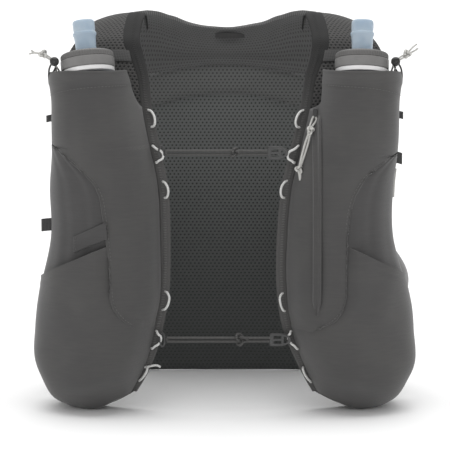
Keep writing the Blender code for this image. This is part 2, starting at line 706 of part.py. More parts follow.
def make_keeper():
    """Band over the hem of the left lower pocket, at its seam."""
    low, high = KEEPER_DROPS

    def keeper(a, b):
        run = run_at(low + (high - low) * b + KEEPER_SLOPE * a)
        start = seam_across(LEFT, run) + 1.5 * CLEARANCE / chord_width(LEFT, run)
        end = across_at(LEFT, run, KEEPER_END)
        return over_pocket(LEFT, start + (end - start) * a, run, STACK_GAP + POCKET_WALL)

    sheet("pocket_keeper", 5, 2, keeper, POCKET_WALL, DARK_CLOTH)


def edge_place(side, drop, inward, lift):
    """Point over a harness, a distance inward of its inner edge and a lift off its face."""
    run = run_at(drop)
    return harness_point(side, -inward / chord_width(side, run), run, lift)


def lace_over():
    """Height of the lace's middle where it passes over the edge binding."""
    return BINDING_GAP + BINDING_WALL + 4 * CLEARANCE + LACE_RADIUS


def lace_tip(side, index):
    """Innermost point of a lace loop."""
    loop = LACE_LOOPS[side][index]
    inset = pocket_inset(run_at(loop.tip * DROP))
    return edge_place(side, loop.tip * DROP, LACE_REACH * loop.reach - inset, lace_over())


def make_lace(side):
    """White lace: hidden under the pocket's edge between six loops at the harness edge."""
    seat = CLEARANCE + LACE_RADIUS
    over = lace_over()
    points = []
    for loop in LACE_LOOPS[side]:
        inset = pocket_inset(run_at(loop.tip * DROP))
        hidden = -inset - 3 * LACE_RADIUS
        rise = 0.4 * hidden + 0.6 * (LACE_REACH * loop.reach - inset)
        for drop, inward, lift in (
                (loop.start - 0.004, hidden, seat),
                (0.6 * loop.start + 0.4 * loop.tip, rise, over),
                (loop.tip, LACE_REACH * loop.reach - inset, over),
                (0.4 * loop.tip + 0.6 * loop.end, rise, over),
                (loop.end + 0.004, hidden, seat)):
            points.append(edge_place(side, drop * DROP, inward, lift))
    cord("lace_" + SIDE_NAMES[side], points, LACE_RADIUS, WHITE_LACE, 3.0)


def ball(name, place, radius, surface, stretch=1.0):
    """Round piece, stretched along Z."""
    bm = bmesh.new()
    bmesh.ops.create_uvsphere(bm, u_segments=10, v_segments=6, radius=radius)
    bmesh.ops.scale(bm, vec=(1.0, 1.0, stretch), verts=bm.verts)
    bmesh.ops.translate(bm, vec=place, verts=bm.verts)
    return add_mesh(name, bm, surface)


def loop_cord(name, start, turn, spread, radius, surface):
    """Doubled cord: out from start, round a bend at turn and back, as one tube."""
    start, turn = Vector(start), Vector(turn)
    along = (turn - start).normalized()
    up = Vector((0.0, 0.0, spread))
    bend = along * spread
    points = [start + up, start.lerp(turn, 0.4) + up, turn - 2 * bend + up,
              turn - 0.3 * bend + 0.7 * up, turn, turn - 0.3 * bend - 0.7 * up,
              turn - 2 * bend - up, start.lerp(turn, 0.4) - up, start - up]
    return cord(name, points, radius, surface, 1.6)


def box(name, centre, size, surface, bevel=0.0006):
    """Small block with softened edges."""
    bm = bmesh.new()
    bmesh.ops.create_cube(bm, size=1.0)
    bmesh.ops.scale(bm, vec=size, verts=bm.verts)
    bmesh.ops.translate(bm, vec=centre, verts=bm.verts)
    if bevel:
        bmesh.ops.bevel(bm, geom=bm.edges[:], offset=bevel, segments=1, affect="EDGES")
    return add_mesh(name, bm, surface)


def make_sternum(row):
    """Sternum strap: ring on the left lace, doubled cord, knot, cord and fork hook."""
    left, right = lace_tip(LEFT, row.loop), lace_tip(RIGHT, row.loop)
    y, z = 0.5 * (left.y + right.y) - row.proud, 0.5 * (left.z + right.z) + row.rise
    ring_x, hook_end = left.x + row.ring_over, right.x - row.hook_over
    hook_start = hook_end - row.hook_length
    knot = Vector((ring_x + (hook_start - ring_x) * row.knot, y, z))
    ring = "sternum_ring_" + row.name
    bm = bmesh.new()
    rings = []
    for k in range(14):
        angle = 2 * math.pi * k / 14
        middle = Vector((ring_x + RING_HALF_WIDTH * math.cos(angle), y,
                         z + RING_HALF_HEIGHT * math.sin(angle)))
        out = Vector((math.cos(angle), 0.0, math.sin(angle)))
        corners = []
        for j in range(6):
            turn = 2 * math.pi * j / 6
            corners.append(bm.verts.new(middle + RING_WIRE * (
                out * math.cos(turn) + Vector((0.0, 1.0, 0.0)) * math.sin(turn))))
        rings.append(corners)
    for k in range(14):
        here, after = rings[k], rings[(k + 1) % 14]
        for j in range(6):
            bm.faces.new((here[j], after[j], after[(j + 1) % 6], here[(j + 1) % 6]))
    bmesh.ops.recalc_face_normals(bm, faces=bm.faces)
    add_mesh(ring, bm, DARK_PLASTIC)

    cord_start = knot - Vector((KNOT_RADIUS * 1.2 + CLEARANCE, 0.0, 0.0))
    cord_turn = Vector((ring_x + RING_HALF_WIDTH + RING_WIRE + CLEARANCE + STERNUM_RADIUS, y, z))
    loop_cord("sternum_cord_" + row.name, cord_start, cord_turn, STERNUM_SPREAD,
              STERNUM_RADIUS, DARK_CORD)
    bm = bmesh.new()
    bmesh.ops.create_uvsphere(bm, u_segments=10, v_segments=6, radius=KNOT_RADIUS)
    bmesh.ops.scale(bm, vec=(1.2, 1.0, 1.5), verts=bm.verts)
    bmesh.ops.translate(bm, vec=knot, verts=bm.verts)
    add_mesh("sternum_knot_" + row.name, bm, DARK_CORD)

    tail_start = knot + Vector((KNOT_RADIUS * 1.2 + CLEARANCE, 0.0, 0.0))
    tail_turn = Vector((hook_start - CLEARANCE - STERNUM_RADIUS, y, z))
    loop_cord("sternum_tail_" + row.name, tail_start, tail_turn, STERNUM_SPREAD,
              STERNUM_RADIUS, DARK_CORD)
    make_hook("sternum_hook_" + row.name, hook_start, hook_end, y, z)


def make_hook(name, start, end, y, z):
    """Flat fork hook with two slots, cut from one plate."""
    half = 0.5 * HOOK_HEIGHT
    plate = box(name, ((start + end) / 2, y, z), (end - start, HOOK_THICKNESS, HOOK_HEIGHT),
                DARK_PLASTIC, 0.0)
    slots = ((start + HOOK_BAR, start + HOOK_SLOT_END, 0.62 * half),
             (start + HOOK_SLOT_END + 0.002, end - 0.0025, 0.55 * half))
    for index, (low, high, reach) in enumerate(slots):
        cutter = box(name + "_slot_%d" % index, ((low + high) / 2, y, z),
                     (high - low, 4 * HOOK_THICKNESS, 2 * reach), DARK_PLASTIC, 0.0)
        cutter.hide_render = True
        cutter.display_type = "WIRE"
        cut = plate.modifiers.new("slot", "BOOLEAN")
        cut.operation = "DIFFERENCE"
        cut.object = cutter


def make_drawcord(side):
    """Ball lock at the mouth's outer corner, cord to a knot and two free tails as one bundle."""
    hand = SIDE_NAMES[side]
    beside = side * (CAP_RADIUS + LOCK_GAP + LOCK_RADIUS)
    lock = flask_frame(side).translation + Vector((beside, -LOCK_PROUD, LOCK_RISE))
    knot = lock + Vector((side * TAIL_KNOT_OUT, 0.0, TAIL_KNOT_RISE))
    ball("cord_lock_" + hand, lock, LOCK_RADIUS, DARK_PLASTIC)
    toward = (knot - lock).normalized()
    start = lock + toward * (LOCK_RADIUS + CLEARANCE)
    stop = knot - toward * (TAIL_KNOT_RADIUS + CLEARANCE)
    cord("drawcord_" + hand, [start, start.lerp(stop, 0.5) + Vector((0, -0.001, 0.0006)), stop],
         DRAWCORD_RADIUS, GREY_CORD)
    ball("drawcord_knot_" + hand, knot, TAIL_KNOT_RADIUS, GREY_CORD)
    tail = Vector((side * 1.0, 0.0, TAIL_RISE[side])).normalized()
    first = knot + tail * (TAIL_KNOT_RADIUS + CLEARANCE)
    cord("drawcord_tail_" + hand,
         [first, first + tail * 0.5 * TAIL_LENGTH + Vector((0, -0.001, 0.0008)),
          first + tail * TAIL_LENGTH], DRAWCORD_RADIUS, GREY_CORD)
    hem = pocket_point(side, 0.93, run_at((MOUTH_DROP + MOUTH_FALL) * DROP), 0.0)
    reach = (hem - lock).normalized()
    cord("lock_loop_" + hand,
         [lock + reach * (LOCK_RADIUS + CLEARANCE), lock.lerp(hem, 0.6) + Vector((0, -0.0015, 0)),
          hem - reach * 0.0016 + Vector((0, -0.0004, 0.0010))], 0.0010, DARK_CORD)


def make_zip():
    """Covered zip down the right chest pocket, its slider and its cord pull."""
    zip_x = HALF_WIDTH * ZIP_OUT

    def flap(a, b):
        run = run_at(ZIP_TOP_DROP + (ZIP_BOTTOM_DROP - ZIP_TOP_DROP) * b)
        across = across_at(RIGHT, run, zip_x + (a - 0.5) * ZIP_WIDTH)
        return over_pocket(RIGHT, across, run, STACK_GAP + POCKET_WALL)

    sheet("zip_flap", 2, 16, flap, POCKET_WALL, DARK_CLOTH, True)

    def on_pocket(drop, out, height):
        run = run_at(drop)
        return over_pocket(RIGHT, across_at(RIGHT, run, out), run, height)

    slider_drop = ZIP_TOP_DROP - 0.5 * SLIDER_SIZE[2] - 3 * CLEARANCE
    slider = on_pocket(slider_drop, zip_x, 0.5 * SLIDER_SIZE[1] + 3 * CLEARANCE)
    box("zip_slider", slider, SLIDER_SIZE, DARK_PLASTIC)
    over_flap = STACK_GAP + POCKET_WALL + CLEARANCE
    knot_drop = ZIP_TOP_DROP + 0.8 * SLIDER_SIZE[2]
    knot = on_pocket(knot_drop, zip_x - 0.001, PULL_KNOT_RADIUS + over_flap)
    ball("zip_pull_knot", knot, PULL_KNOT_RADIUS, GREY_CORD, PULL_KNOT_STRETCH)
    end_drop = ZIP_TOP_DROP + ZIP_PULL_LENGTH
    end = on_pocket(end_drop, zip_x + ZIP_PULL_SIDE, PULL_KNOT_RADIUS + 2 * CLEARANCE)
    down = (end - knot).normalized()
    start = knot + down * (PULL_KNOT_RADIUS * PULL_KNOT_STRETCH + CLEARANCE)
    stop = end - down * (PULL_KNOT_RADIUS * PULL_END_STRETCH + CLEARANCE)
    cord("zip_pull_cord", [start, start.lerp(stop, 0.4) + Vector((0.0015, -0.001, 0)),
                           start.lerp(stop, 0.8), stop], ZIP_CORD_RADIUS, GREY_CORD)
    ball("zip_pull_end", end, PULL_KNOT_RADIUS, GREY_CORD, PULL_END_STRETCH)


def make_tabs():
    """Small fabric tabs at the outer edges and the side cord on the right."""
    for tab in TABS:
        run = run_at(tab.drop * DROP)
        edge = pocket_point(tab.side, 0.92, run)
        centre = edge + Vector((tab.side * (0.5 * tab.width + tab.root), 0.0, 0.0))
        box(tab.name, centre, (tab.width, TAB_THICKNESS, tab.height), BINDING, 0.0005)
    points = []
    for drop in SIDE_CORD_DROPS:
        run = run_at(drop)
        points.append(pocket_point(RIGHT, 0.94, run, DRAWCORD_RADIUS + CLEARANCE))
    cord("side_cord", points, DRAWCORD_RADIUS, GREY_CORD)


for which in (LEFT, RIGHT):
    make_harness(which)
    make_pockets(which)
    make_flask(which)
    make_wing(which)
    make_lace(which)
    make_drawcord(which)
make_back()
make_keeper()
for strap in STERNUMS:
    make_sternum(strap)
make_zip()
make_tabs()
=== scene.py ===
"""Looks of the running hydration vest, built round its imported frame, in metres.

The front of the vest faces -Y and +X is the viewer's right. A side of -1 is the viewer's left
half and 1 the right half. The sizes, tables and shape functions are those of the CAD source.
"""
from bisect import bisect_right
from collections import namedtuple
from functools import lru_cache
from math import atan2, copysign, cos, exp, inf, pi, radians, sin

import bmesh
import bpy
from mathutils import Matrix, Vector, noise


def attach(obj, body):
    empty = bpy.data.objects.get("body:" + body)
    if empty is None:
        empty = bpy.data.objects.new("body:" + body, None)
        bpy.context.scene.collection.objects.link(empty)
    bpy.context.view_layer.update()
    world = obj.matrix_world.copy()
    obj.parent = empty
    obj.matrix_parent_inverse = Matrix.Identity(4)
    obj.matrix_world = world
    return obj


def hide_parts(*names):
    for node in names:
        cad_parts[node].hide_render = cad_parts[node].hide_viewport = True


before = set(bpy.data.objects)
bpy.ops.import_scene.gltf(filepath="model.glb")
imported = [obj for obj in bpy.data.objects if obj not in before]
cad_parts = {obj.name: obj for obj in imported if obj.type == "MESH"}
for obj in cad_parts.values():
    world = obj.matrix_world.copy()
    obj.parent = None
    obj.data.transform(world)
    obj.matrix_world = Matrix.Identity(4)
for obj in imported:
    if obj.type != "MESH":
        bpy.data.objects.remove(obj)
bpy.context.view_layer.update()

# Overall sizes, from the seat on the shoulders
DROP = 0.370               # down to the lowest point
HALF_WIDTH = 0.182         # centre to the widest point of the lower pockets
FRONT_DEPTH = 0.098        # forward to the inner edges of the front panels
BACK_DEPTH = 0.084         # back to the middle of the back panel

# Walls of cloth and the gap between pieces
CLEARANCE = 0.0003
SEAM_GAP = 0.0019          # between cloth panels that share a curved seam
STACK_GAP = 0.0012         # between a curved face and a flat strip sewn on it
BINDING_GAP = 0.00095      # the same under the narrow edge binding
HARNESS_WALL = 0.003
POCKET_WALL = 0.0015
BINDING_WALL = 0.0012
PAD_WALL = 0.005

# Harness and pockets
HARNESS_BOW = 0.008        # how far a front panel bows out between its edges
POCKET_BULGE = 0.056       # flask pocket's front off the harness at its mouth
POCKET_ROUNDNESS = 2.8     # 2 is an ellipse, more is squarer
POCKET_END = 0.99          # pocket's outer edge, a share of the harness's width
POCKET_INSET = 0.0062      # harness left bare inside the pockets' inner edge
INSET_FADE = 0.7           # share of it lost at the bottom
INSET_FADE_START = 0.78    # share of DROP where it starts to narrow
BOTTOM_DIP = 0.019         # sag of the rounded lower edge
HEM_PROUD = 0.0035         # how far the lower pocket's hem stands off the side panel
HEM_OVERLAP = 0.012        # side panel behind the lower pocket's hem

# Flasks
CAP_RADIUS = 0.0255
CAP_HEIGHT = 0.016
CAP_DROP = 0.1216          # underside of the cap, a share of DROP
CAP_OUT = 0.709            # cap's middle from the centre, a share of HALF_WIDTH
CAP_FORWARD = 0.9286       # a share of FRONT_DEPTH
FLASK_LEAN_BACK = 14.0     # degrees
COLLAR_HEIGHT = 0.0026
FLASK_FILL = 0.475         # half the flask body's depth as a share of its pocket's
NECK_RADIUS = 0.0195
VALVE_RADIUS = 0.0108
VALVE_HEIGHT = 0.031

# Back
BACK_HALF = 0.122          # half width of the upper back
BACK_HALF_LOW = 0.106      # half width of the back at its lower edge
BACK_WRAP = 0.018          # how far the sides of the back come forward
BACK_BOTTOM_DROP = 0.3685
NECK_DROP = 0.013          # top of the nape
NECK_BACK = 0.072
CREASE_DROP = 0.052        # crease under the yoke, at the middle
CREASE_FALL = 0.008        # more at the straps
ARC_DROP = 0.082           # arc seam under the upper back, at the middle
ARC_FALL = 0.036           # more at the sides
POUCH_HALF = 0.088
POUCH_TOP_DROP = 0.120
POUCH_BOTTOM_DROP = 0.352
POUCH_BULGE = 0.034

HANG_LOOP_X = 0.005
HANG_LOOP_LENGTH = 0.030
HANG_LOOP_WIDTH = 0.005
HANG_LOOP_DROP = 0.005     # below the top of the nape
HANG_LOOP_DIP = 0.0035     # how far its middle stands off the yoke

# Side wings and the band on the left lower pocket
WING_TOP_DROP = 0.172
WING_BOTTOM_DROP = 0.325
WING_SEAM = 0.0024         # wing's outer face off the back's side edge
WING_SCOOP = 0.010         # how far its upper edge sags
KEEPER_DROPS = (0.1850, 0.2010)
KEEPER_SLOPE = 0.016       # how much lower its outer end sits
KEEPER_END = 0.142         # its outer end from the centre

# Right zip
ZIP_OUT = 0.4753           # zip from the centre of the vest, a share of HALF_WIDTH
ZIP_TOP_DROP = 0.090
ZIP_BOTTOM_DROP = 0.272
ZIP_WIDTH = 0.008
SLIDER_SIZE = (0.0040, 0.0045, 0.0065)
ZIP_PULL_SIDE = -0.0145    # the pull hangs towards the middle of the vest
ZIP_PULL_LENGTH = 0.042
PULL_KNOT_RADIUS = 0.0028

# Sternum rings and hooks
RING_HALF_WIDTH = 0.0024
RING_HALF_HEIGHT = 0.0065
RING_WIRE = 0.0010
HOOK_HEIGHT = 0.0115
HOOK_THICKNESS = 0.0030
HOOK_BAR = 0.0030

# Cords
LOCK_GAP = 0.0012          # between the cap's rim and the cord lock
LOCK_PROUD = 0.009         # cord lock forward of the cap's middle
LOCK_RISE = 0.008          # and above its underside
TAIL_KNOT_OUT = 0.0105     # tail knot outboard of the lock
TAIL_KNOT_RISE = 0.0070
TAIL_KNOT_RADIUS = 0.0030
TAIL_LENGTH = 0.010
SIDE_CORD_DROPS = (0.140, 0.153, 0.168)
LACE_RADIUS = 0.0010
LACE_REACH = 0.0112
DRAWCORD_RADIUS = 0.0008
STERNUM_RADIUS = 0.0014
STERNUM_TIGHT = 0.93       # radius of its cord as it shows, as a share of that
STERNUM_SPREAD = 0.0017    # half the spacing of the doubled cord
LOCK_RADIUS = 0.0044
KNOT_RADIUS = 0.0033
ZIP_CORD_RADIUS = 0.0009

LEFT = -1
RIGHT = 1
SIDE_NAMES = {LEFT: "left", RIGHT: "right"}
FLASK_LEAN_OUT = {LEFT: 6.5, RIGHT: 1.5}    # degrees
TAIL_RISE = {LEFT: 0.15, RIGHT: 0.75}       # rise of a drawcord's tail for each metre outward

# One row for each station of the harness, from the end of the strap on the back, over the
# shoulder and down the front. drop is a share of DROP. depth is a share of FRONT_DEPTH when
# positive and of BACK_DEPTH when negative. The four x columns are shares of HALF_WIDTH.
# out_back and out_drop say how much the outer edge lies behind and below the inner one, as
# shares of FRONT_DEPTH and DROP. bow, bulge and dip are shares of their named sizes.
Station = namedtuple("Station", "drop depth in_left in_right out_left out_right "
                                "out_back out_drop bow bulge dip")
HARNESS = [
    Station(0.159, -0.960, 0.440, 0.440, 0.665, 0.665, -0.14, 0.000, 0.0, 0.00, 0.0),
    Station(0.075, -0.900, 0.440, 0.440, 0.680, 0.680, -0.10, 0.020, 0.2, 0.00, 0.0),
    Station(0.006, -0.540, 0.440, 0.440, 0.695, 0.695, -0.02, 0.024, 0.3, 0.00, 0.0),
    Station(-0.011, 0.000, 0.444, 0.448, 0.703, 0.703, 0.02, 0.018, 0.4, 0.00, 0.0),
    Station(0.040, 0.430, 0.462, 0.472, 0.785, 0.795, 0.08, 0.012, 0.4, 0.00, 0.0),
    Station(0.085, 0.590, 0.443, 0.464, 0.835, 0.840, 0.14, 0.006, 0.5, 0.80, 0.0),
    Station(0.139, 0.720, 0.414, 0.435, 0.872, 0.872, 0.25, 0.000, 0.7, 1.00, 0.0),
    Station(0.227, 0.860, 0.391, 0.402, 0.846, 0.846, 0.38, 0.000, 1.0, 0.97, 0.0),
    Station(0.326, 0.980, 0.348, 0.353, 0.838, 0.835, 0.52, 0.000, 1.0, 0.90, 0.0),
    Station(0.429, 1.000, 0.307, 0.307, 0.870, 0.824, 0.56, 0.000, 1.0, 0.84, 0.0),
    Station(0.557, 1.000, 0.298, 0.284, 0.868, 0.835, 0.56, 0.000, 1.0, 0.84, 0.0),
    Station(0.689, 1.000, 0.304, 0.284, 0.930, 0.918, 0.54, 0.000, 1.0, 0.92, 0.0),
    Station(0.795, 0.990, 0.342, 0.319, 0.965, 0.962, 0.52, 0.000, 1.0, 0.94, 0.1),
    Station(0.890, 0.970, 0.402, 0.400, 0.958, 0.965, 0.50, 0.000, 1.0, 0.86, 0.5),
    Station(0.960, 0.930, 0.481, 0.476, 0.890, 0.905, 0.40, -0.012, 0.8, 0.28, 1.0),
]
RIDGE_ROW = 3
LAST_ROW = len(HARNESS) - 1
HARNESS_COLUMNS = dict(zip(Station._fields, zip(*HARNESS)))

# Seam between the chest pocket and the side panel, on the pockets' outer face: drop is a share
# of DROP and out is the distance from the vest's centre, a share of HALF_WIDTH. It starts at
# the outer edge and ends at the inner one.
SeamRow = namedtuple("SeamRow", "drop out")
SEAM = {
    LEFT: [SeamRow(0.314, 0.885), SeamRow(0.340, 0.813), SeamRow(0.370, 0.738),
           SeamRow(0.403, 0.668), SeamRow(0.440, 0.632), SeamRow(0.492, 0.618),
           SeamRow(0.592, 0.596), SeamRow(0.695, 0.588), SeamRow(0.722, 0.572),
           SeamRow(0.746, 0.537), SeamRow(0.765, 0.495), SeamRow(0.786, 0.425)],
    RIGHT: [SeamRow(0.334, 0.885), SeamRow(0.359, 0.795), SeamRow(0.385, 0.720),
            SeamRow(0.433, 0.663), SeamRow(0.478, 0.638), SeamRow(0.516, 0.630),
            SeamRow(0.600, 0.627), SeamRow(0.695, 0.624), SeamRow(0.726, 0.608),
            SeamRow(0.751, 0.565), SeamRow(0.767, 0.510), SeamRow(0.788, 0.440)],
}
# Hem of the lower pocket: drop as a share of DROP, at the seam and at the outer edge
Hem = namedtuple("Hem", "seam_drop outer_drop")
HEM = {LEFT: Hem(0.560, 0.665), RIGHT: Hem(0.562, 0.665)}
MOUTH_DROP = 0.126                          # flask pocket's mouth, a share of DROP
MOUTH_FALL = 0.014                          # more at its outer corner, a share of DROP

# Visible loops of each lace: drops are shares of DROP, reach is a share of LACE_REACH
LaceLoop = namedtuple("LaceLoop", "start tip end reach")
LACE_LOOPS = {
    LEFT: [LaceLoop(0.226, 0.248, 0.270, 0.82), LaceLoop(0.316, 0.336, 0.358, 1.10),
           LaceLoop(0.406, 0.427, 0.450, 0.75), LaceLoop(0.692, 0.713, 0.742, 0.80),
           LaceLoop(0.796, 0.818, 0.842, 0.86), LaceLoop(0.890, 0.908, 0.930, 0.30)],
    RIGHT: [LaceLoop(0.227, 0.252, 0.271, 0.92), LaceLoop(0.316, 0.336, 0.358, 1.10),
            LaceLoop(0.404, 0.424, 0.450, 0.88), LaceLoop(0.697, 0.714, 0.746, 0.50),
            LaceLoop(0.797, 0.816, 0.843, 0.55), LaceLoop(0.892, 0.912, 0.933, 0.28)],
}

# Sternum straps: the lace loop that each end holds, how far the strap stands above and in
# front of the loops' tips, its ends' reach over the tips, and the knot's share of its length
Sternum = namedtuple("Sternum", "name loop rise proud ring_over hook_over hook_length knot")
STERNUMS = [
    Sternum("upper", 1, 0.0019, 0.0011, -0.0006, 0.0013, 0.0185, 0.69),
    Sternum("lower", 4, 0.0001, 0.0020, 0.0024, -0.0008, 0.0195, 0.73),
]

# Fabric tabs at the outer edges: width and height are real sizes, root is how far the
# tab's sewn end stands outside the pocket's rim
Tab = namedtuple("Tab", "name side drop width height root")
TABS = [
    Tab("side_tab_upper_left", LEFT, 0.247, 0.0070, 0.0065, -0.0006),
    Tab("side_tab_lower_left", LEFT, 0.524, 0.0130, 0.0120, -0.0015),
    Tab("side_tab_upper_right", RIGHT, 0.238, 0.0060, 0.0070, -0.0006),
    Tab("side_tab_lower_right", RIGHT, 0.348, 0.0060, 0.0110, 0.0006),
]
TAB_THICKNESS = 0.0016


def clamp(x):
    """x held between 0 and 1."""
    return min(max(x, 0.0), 1.0)


def eased(x):
    """Smooth rise from 0 to 1 while x goes from 0 to 1."""
    x = clamp(x)
    return x * x * (3 - 2 * x)


def between(values, k, f):
    """Smooth value a share f of the way from values[k] to the next one."""
    last = len(values) - 1
    a, b, c, d = (values[min(max(k + step, 0), last)] for step in (-1, 0, 1, 2))
    bend = 2 * a - 5 * b + 4 * c - d + f * (3 * (b - c) + d - a)
    return b + 0.5 * f * (c - a + f * bend)


def smooth_route(points, spacing):
    """Points at an even spacing along a smooth curve through a few chosen points."""
    dense = []
    last = len(points) - 1
    for k in range(last):
        for step in range(12):
            dense.append(between(points, k, step / 12))
    dense.append(points[last])
    lengths = [0.0]
    for before, here in zip(dense, dense[1:]):
        lengths.append(lengths[-1] + (here - before).length)
    count = max(2, round(lengths[-1] / spacing))
    route = []
    k = 0
    for step in range(count + 1):
        target = lengths[-1] * step / count
        while k < len(lengths) - 2 and lengths[k + 1] < target:
            k += 1
        span = max(lengths[k + 1] - lengths[k], 1e-9)
        route.append(dense[k].lerp(dense[k + 1], (target - lengths[k]) / span))
    return route


def column(name, run):
    """Smooth value of one column of the harness table at a fractional station."""
    run = min(max(run, 0.0), float(LAST_ROW))
    k = min(int(run), LAST_ROW - 1)
    return between(HARNESS_COLUMNS[name], k, run - k)


@lru_cache(maxsize=60000)
def harness_edges(side, run):
    """Inner and outer edge of a harness at a fractional station."""
    hand = SIDE_NAMES[side]
    depth = column("depth", run)
    y = -depth * (FRONT_DEPTH if depth > 0 else BACK_DEPTH)
    z = -DROP * column("drop", run)
    inner = Vector((side * HALF_WIDTH * column("in_" + hand, run), y, z))
    outer = Vector((side * HALF_WIDTH * column("out_" + hand, run),
                    y + FRONT_DEPTH * column("out_back", run),
                    z - DROP * column("out_drop", run)))
    return inner, outer


@lru_cache(maxsize=60000)
def harness_normal(side, run):
    """Outward direction of a harness at a fractional station."""
    before = harness_edges(side, max(run - 0.25, 0.0))
    after = harness_edges(side, min(run + 0.25, LAST_ROW))
    inner, outer = harness_edges(side, run)
    along = (after[0] + after[1]) - (before[0] + before[1])
    return (side * along.cross(outer - inner)).normalized()


def harness_point(side, across, run, lift=0.0):
    """Point on the outer face of a harness, or above it; across is 0 inside and 1 outside."""
    inner, outer = harness_edges(side, run)
    inside = clamp(across)
    bow = HARNESS_BOW * column("bow", run) * 4 * inside * (1 - inside)
    point = inner.lerp(outer, across) + harness_normal(side, run) * (bow + lift)
    point.z -= BOTTOM_DIP * column("dip", run) * sin(pi * inside)
    return point


@lru_cache(maxsize=60000)
def chord_width(side, run):
    """Straight width of a harness at a station."""
    inner, outer = harness_edges(side, run)
    return (outer - inner).length


@lru_cache(maxsize=60000)
def pocket_inset(run):
    """Width of bare harness inside the pockets' inner edge at a station."""
    past = max(0.0, column("drop", run) - INSET_FADE_START)
    return POCKET_INSET * (1 - INSET_FADE * past / (1 - INSET_FADE_START))


def pocket_point(side, across, run, lift=0.0, swell=1.0):
    """Point on the outer face of the pockets; across is 0 at the pocket's inner edge."""
    across = clamp(across)
    inset = pocket_inset(run) / chord_width(side, run)
    bend = abs(2 * across - 1) ** POCKET_ROUNDNESS
    profile = (1 - bend) ** (1 / POCKET_ROUNDNESS)
    bulge = POCKET_BULGE * column("bulge", run) * profile
    seat = CLEARANCE + POCKET_WALL + (2 * LACE_RADIUS + CLEARANCE) * max(0.0, 1 - 4 * across)
    level = harness_normal(side, run).copy()
    level.z = 0.0
    base = harness_point(side, inset + (POCKET_END - inset) * across, run, seat)
    return base + level.normalized() * (bulge * swell + lift)


def look_up(pairs, x):
    """Value at x between the nearest pairs of a table that rises in x."""
    k = min(max(bisect_right(pairs, (x, inf)) - 1, 0), len(pairs) - 2)
    (x0, y0), (x1, y1) = pairs[k], pairs[k + 1]
    f = clamp((x - x0) / (x1 - x0)) if x1 > x0 else 0.0
    return y0 + (y1 - y0) * f


FINE_STEPS = 900           # points of the table that turns a drop into a station
ACROSS_LIMIT = 0.88        # a search across the pocket stops before its steep outer edge
ACROSS_HALVINGS = 24
DROPS = []
for fine in range(FINE_STEPS + 1):
    station = RIDGE_ROW + (LAST_ROW - RIDGE_ROW) * fine / FINE_STEPS
    DROPS.append((DROP * column("drop", station), station))


def run_at(drop):
    """Station on the front whose inner edge lies at this drop."""
    return look_up(DROPS, drop)


def over_pocket(side, across, run, height):
    """Point at a true height off the pocket's outer face."""
    step = 0.02
    down = pocket_point(side, across, run + step) - pocket_point(side, across, run - step)
    wide = pocket_point(side, across + step, run) - pocket_point(side, across - step, run)
    return pocket_point(side, across, run) + (side * down.cross(wide)).normalized() * height


def pocket_floor(side, across, run):
    """Point on the harness behind a pocket point."""
    inset = pocket_inset(run) / chord_width(side, run)
    return harness_point(side, inset + (POCKET_END - inset) * across, run, CLEARANCE)


def across_at(side, run, out):
    """Across share of the pocket's face at a distance from the vest's centre."""
    low, high = 0.0, ACROSS_LIMIT
    for _ in range(ACROSS_HALVINGS):
        middle = 0.5 * (low + high)
        if side * pocket_point(side, middle, run).x < out:
            low = middle
        else:
            high = middle
    return 0.5 * (low + high)


SEAM_STEPS = 5             # points between two rows of the seam's table
SEAM_LINES = {}
for half in (LEFT, RIGHT):
    first = run_at(DROP * SEAM[half][0].drop)
    SEAM_LINES[half] = [(RIDGE_ROW, 1.0), (first, 1.0)]
    for upper_row, lower_row in zip(SEAM[half], SEAM[half][1:]):
        for fine in range(1, SEAM_STEPS + 1):
            f = fine / SEAM_STEPS
            where = run_at(DROP * (upper_row.drop + f * (lower_row.drop - upper_row.drop)))
            out = HALF_WIDTH * (upper_row.out + f * (lower_row.out - upper_row.out))
            SEAM_LINES[half].append((where, max(across_at(half, where, out), 0.03)))


def seam_across(side, run):
    """Across share of the chest pocket's seam at a station."""
    if run > SEAM_LINES[side][-1][0]:
        return 0.0
    return look_up(SEAM_LINES[side], run)


def back_y(x):
    """Inner face of the back at a distance from its middle."""
    return BACK_DEPTH - BACK_WRAP * (abs(x) / BACK_HALF) ** 4


def crease_z(x):
    """Crease between the yoke and the upper back."""
    return -CREASE_DROP - CREASE_FALL * min(1.0, abs(x) / (0.44 * HALF_WIDTH)) ** 2


def arc_z(x):
    """Arc seam under the upper back."""
    return -ARC_DROP - ARC_FALL * (x / BACK_HALF) ** 2


def back_half(z):
    """Half width of the back at a height."""
    f = clamp((-z - ARC_DROP) / (BACK_BOTTOM_DROP - ARC_DROP))
    return BACK_HALF + (BACK_HALF_LOW - BACK_HALF) * f


def flask_frame(side):
    """Placement of a flask: its own Z runs up the flask, from the underside of its cap."""
    turn = (Matrix.Rotation(radians(side * FLASK_LEAN_OUT[side]), 4, "Y")
            @ Matrix.Rotation(radians(-FLASK_LEAN_BACK), 4, "X"))
    place = (side * HALF_WIDTH * CAP_OUT, -FRONT_DEPTH * CAP_FORWARD, -DROP * CAP_DROP)
    return Matrix.Translation(place) @ turn


def edge_place(side, drop, inward, lift):
    """Point over a harness, a distance inward of its inner edge and a lift off its face."""
    run = run_at(drop)
    return harness_point(side, -inward / chord_width(side, run), run, lift)


def lace_over():
    """Height of the lace's middle where it passes over the edge binding."""
    return BINDING_GAP + BINDING_WALL + 4 * CLEARANCE + LACE_RADIUS


def lace_tip(side, index):
    """Innermost point of a lace loop."""
    loop = LACE_LOOPS[side][index]
    inset = pocket_inset(run_at(loop.tip * DROP))
    return edge_place(side, loop.tip * DROP, LACE_REACH * loop.reach - inset, lace_over())


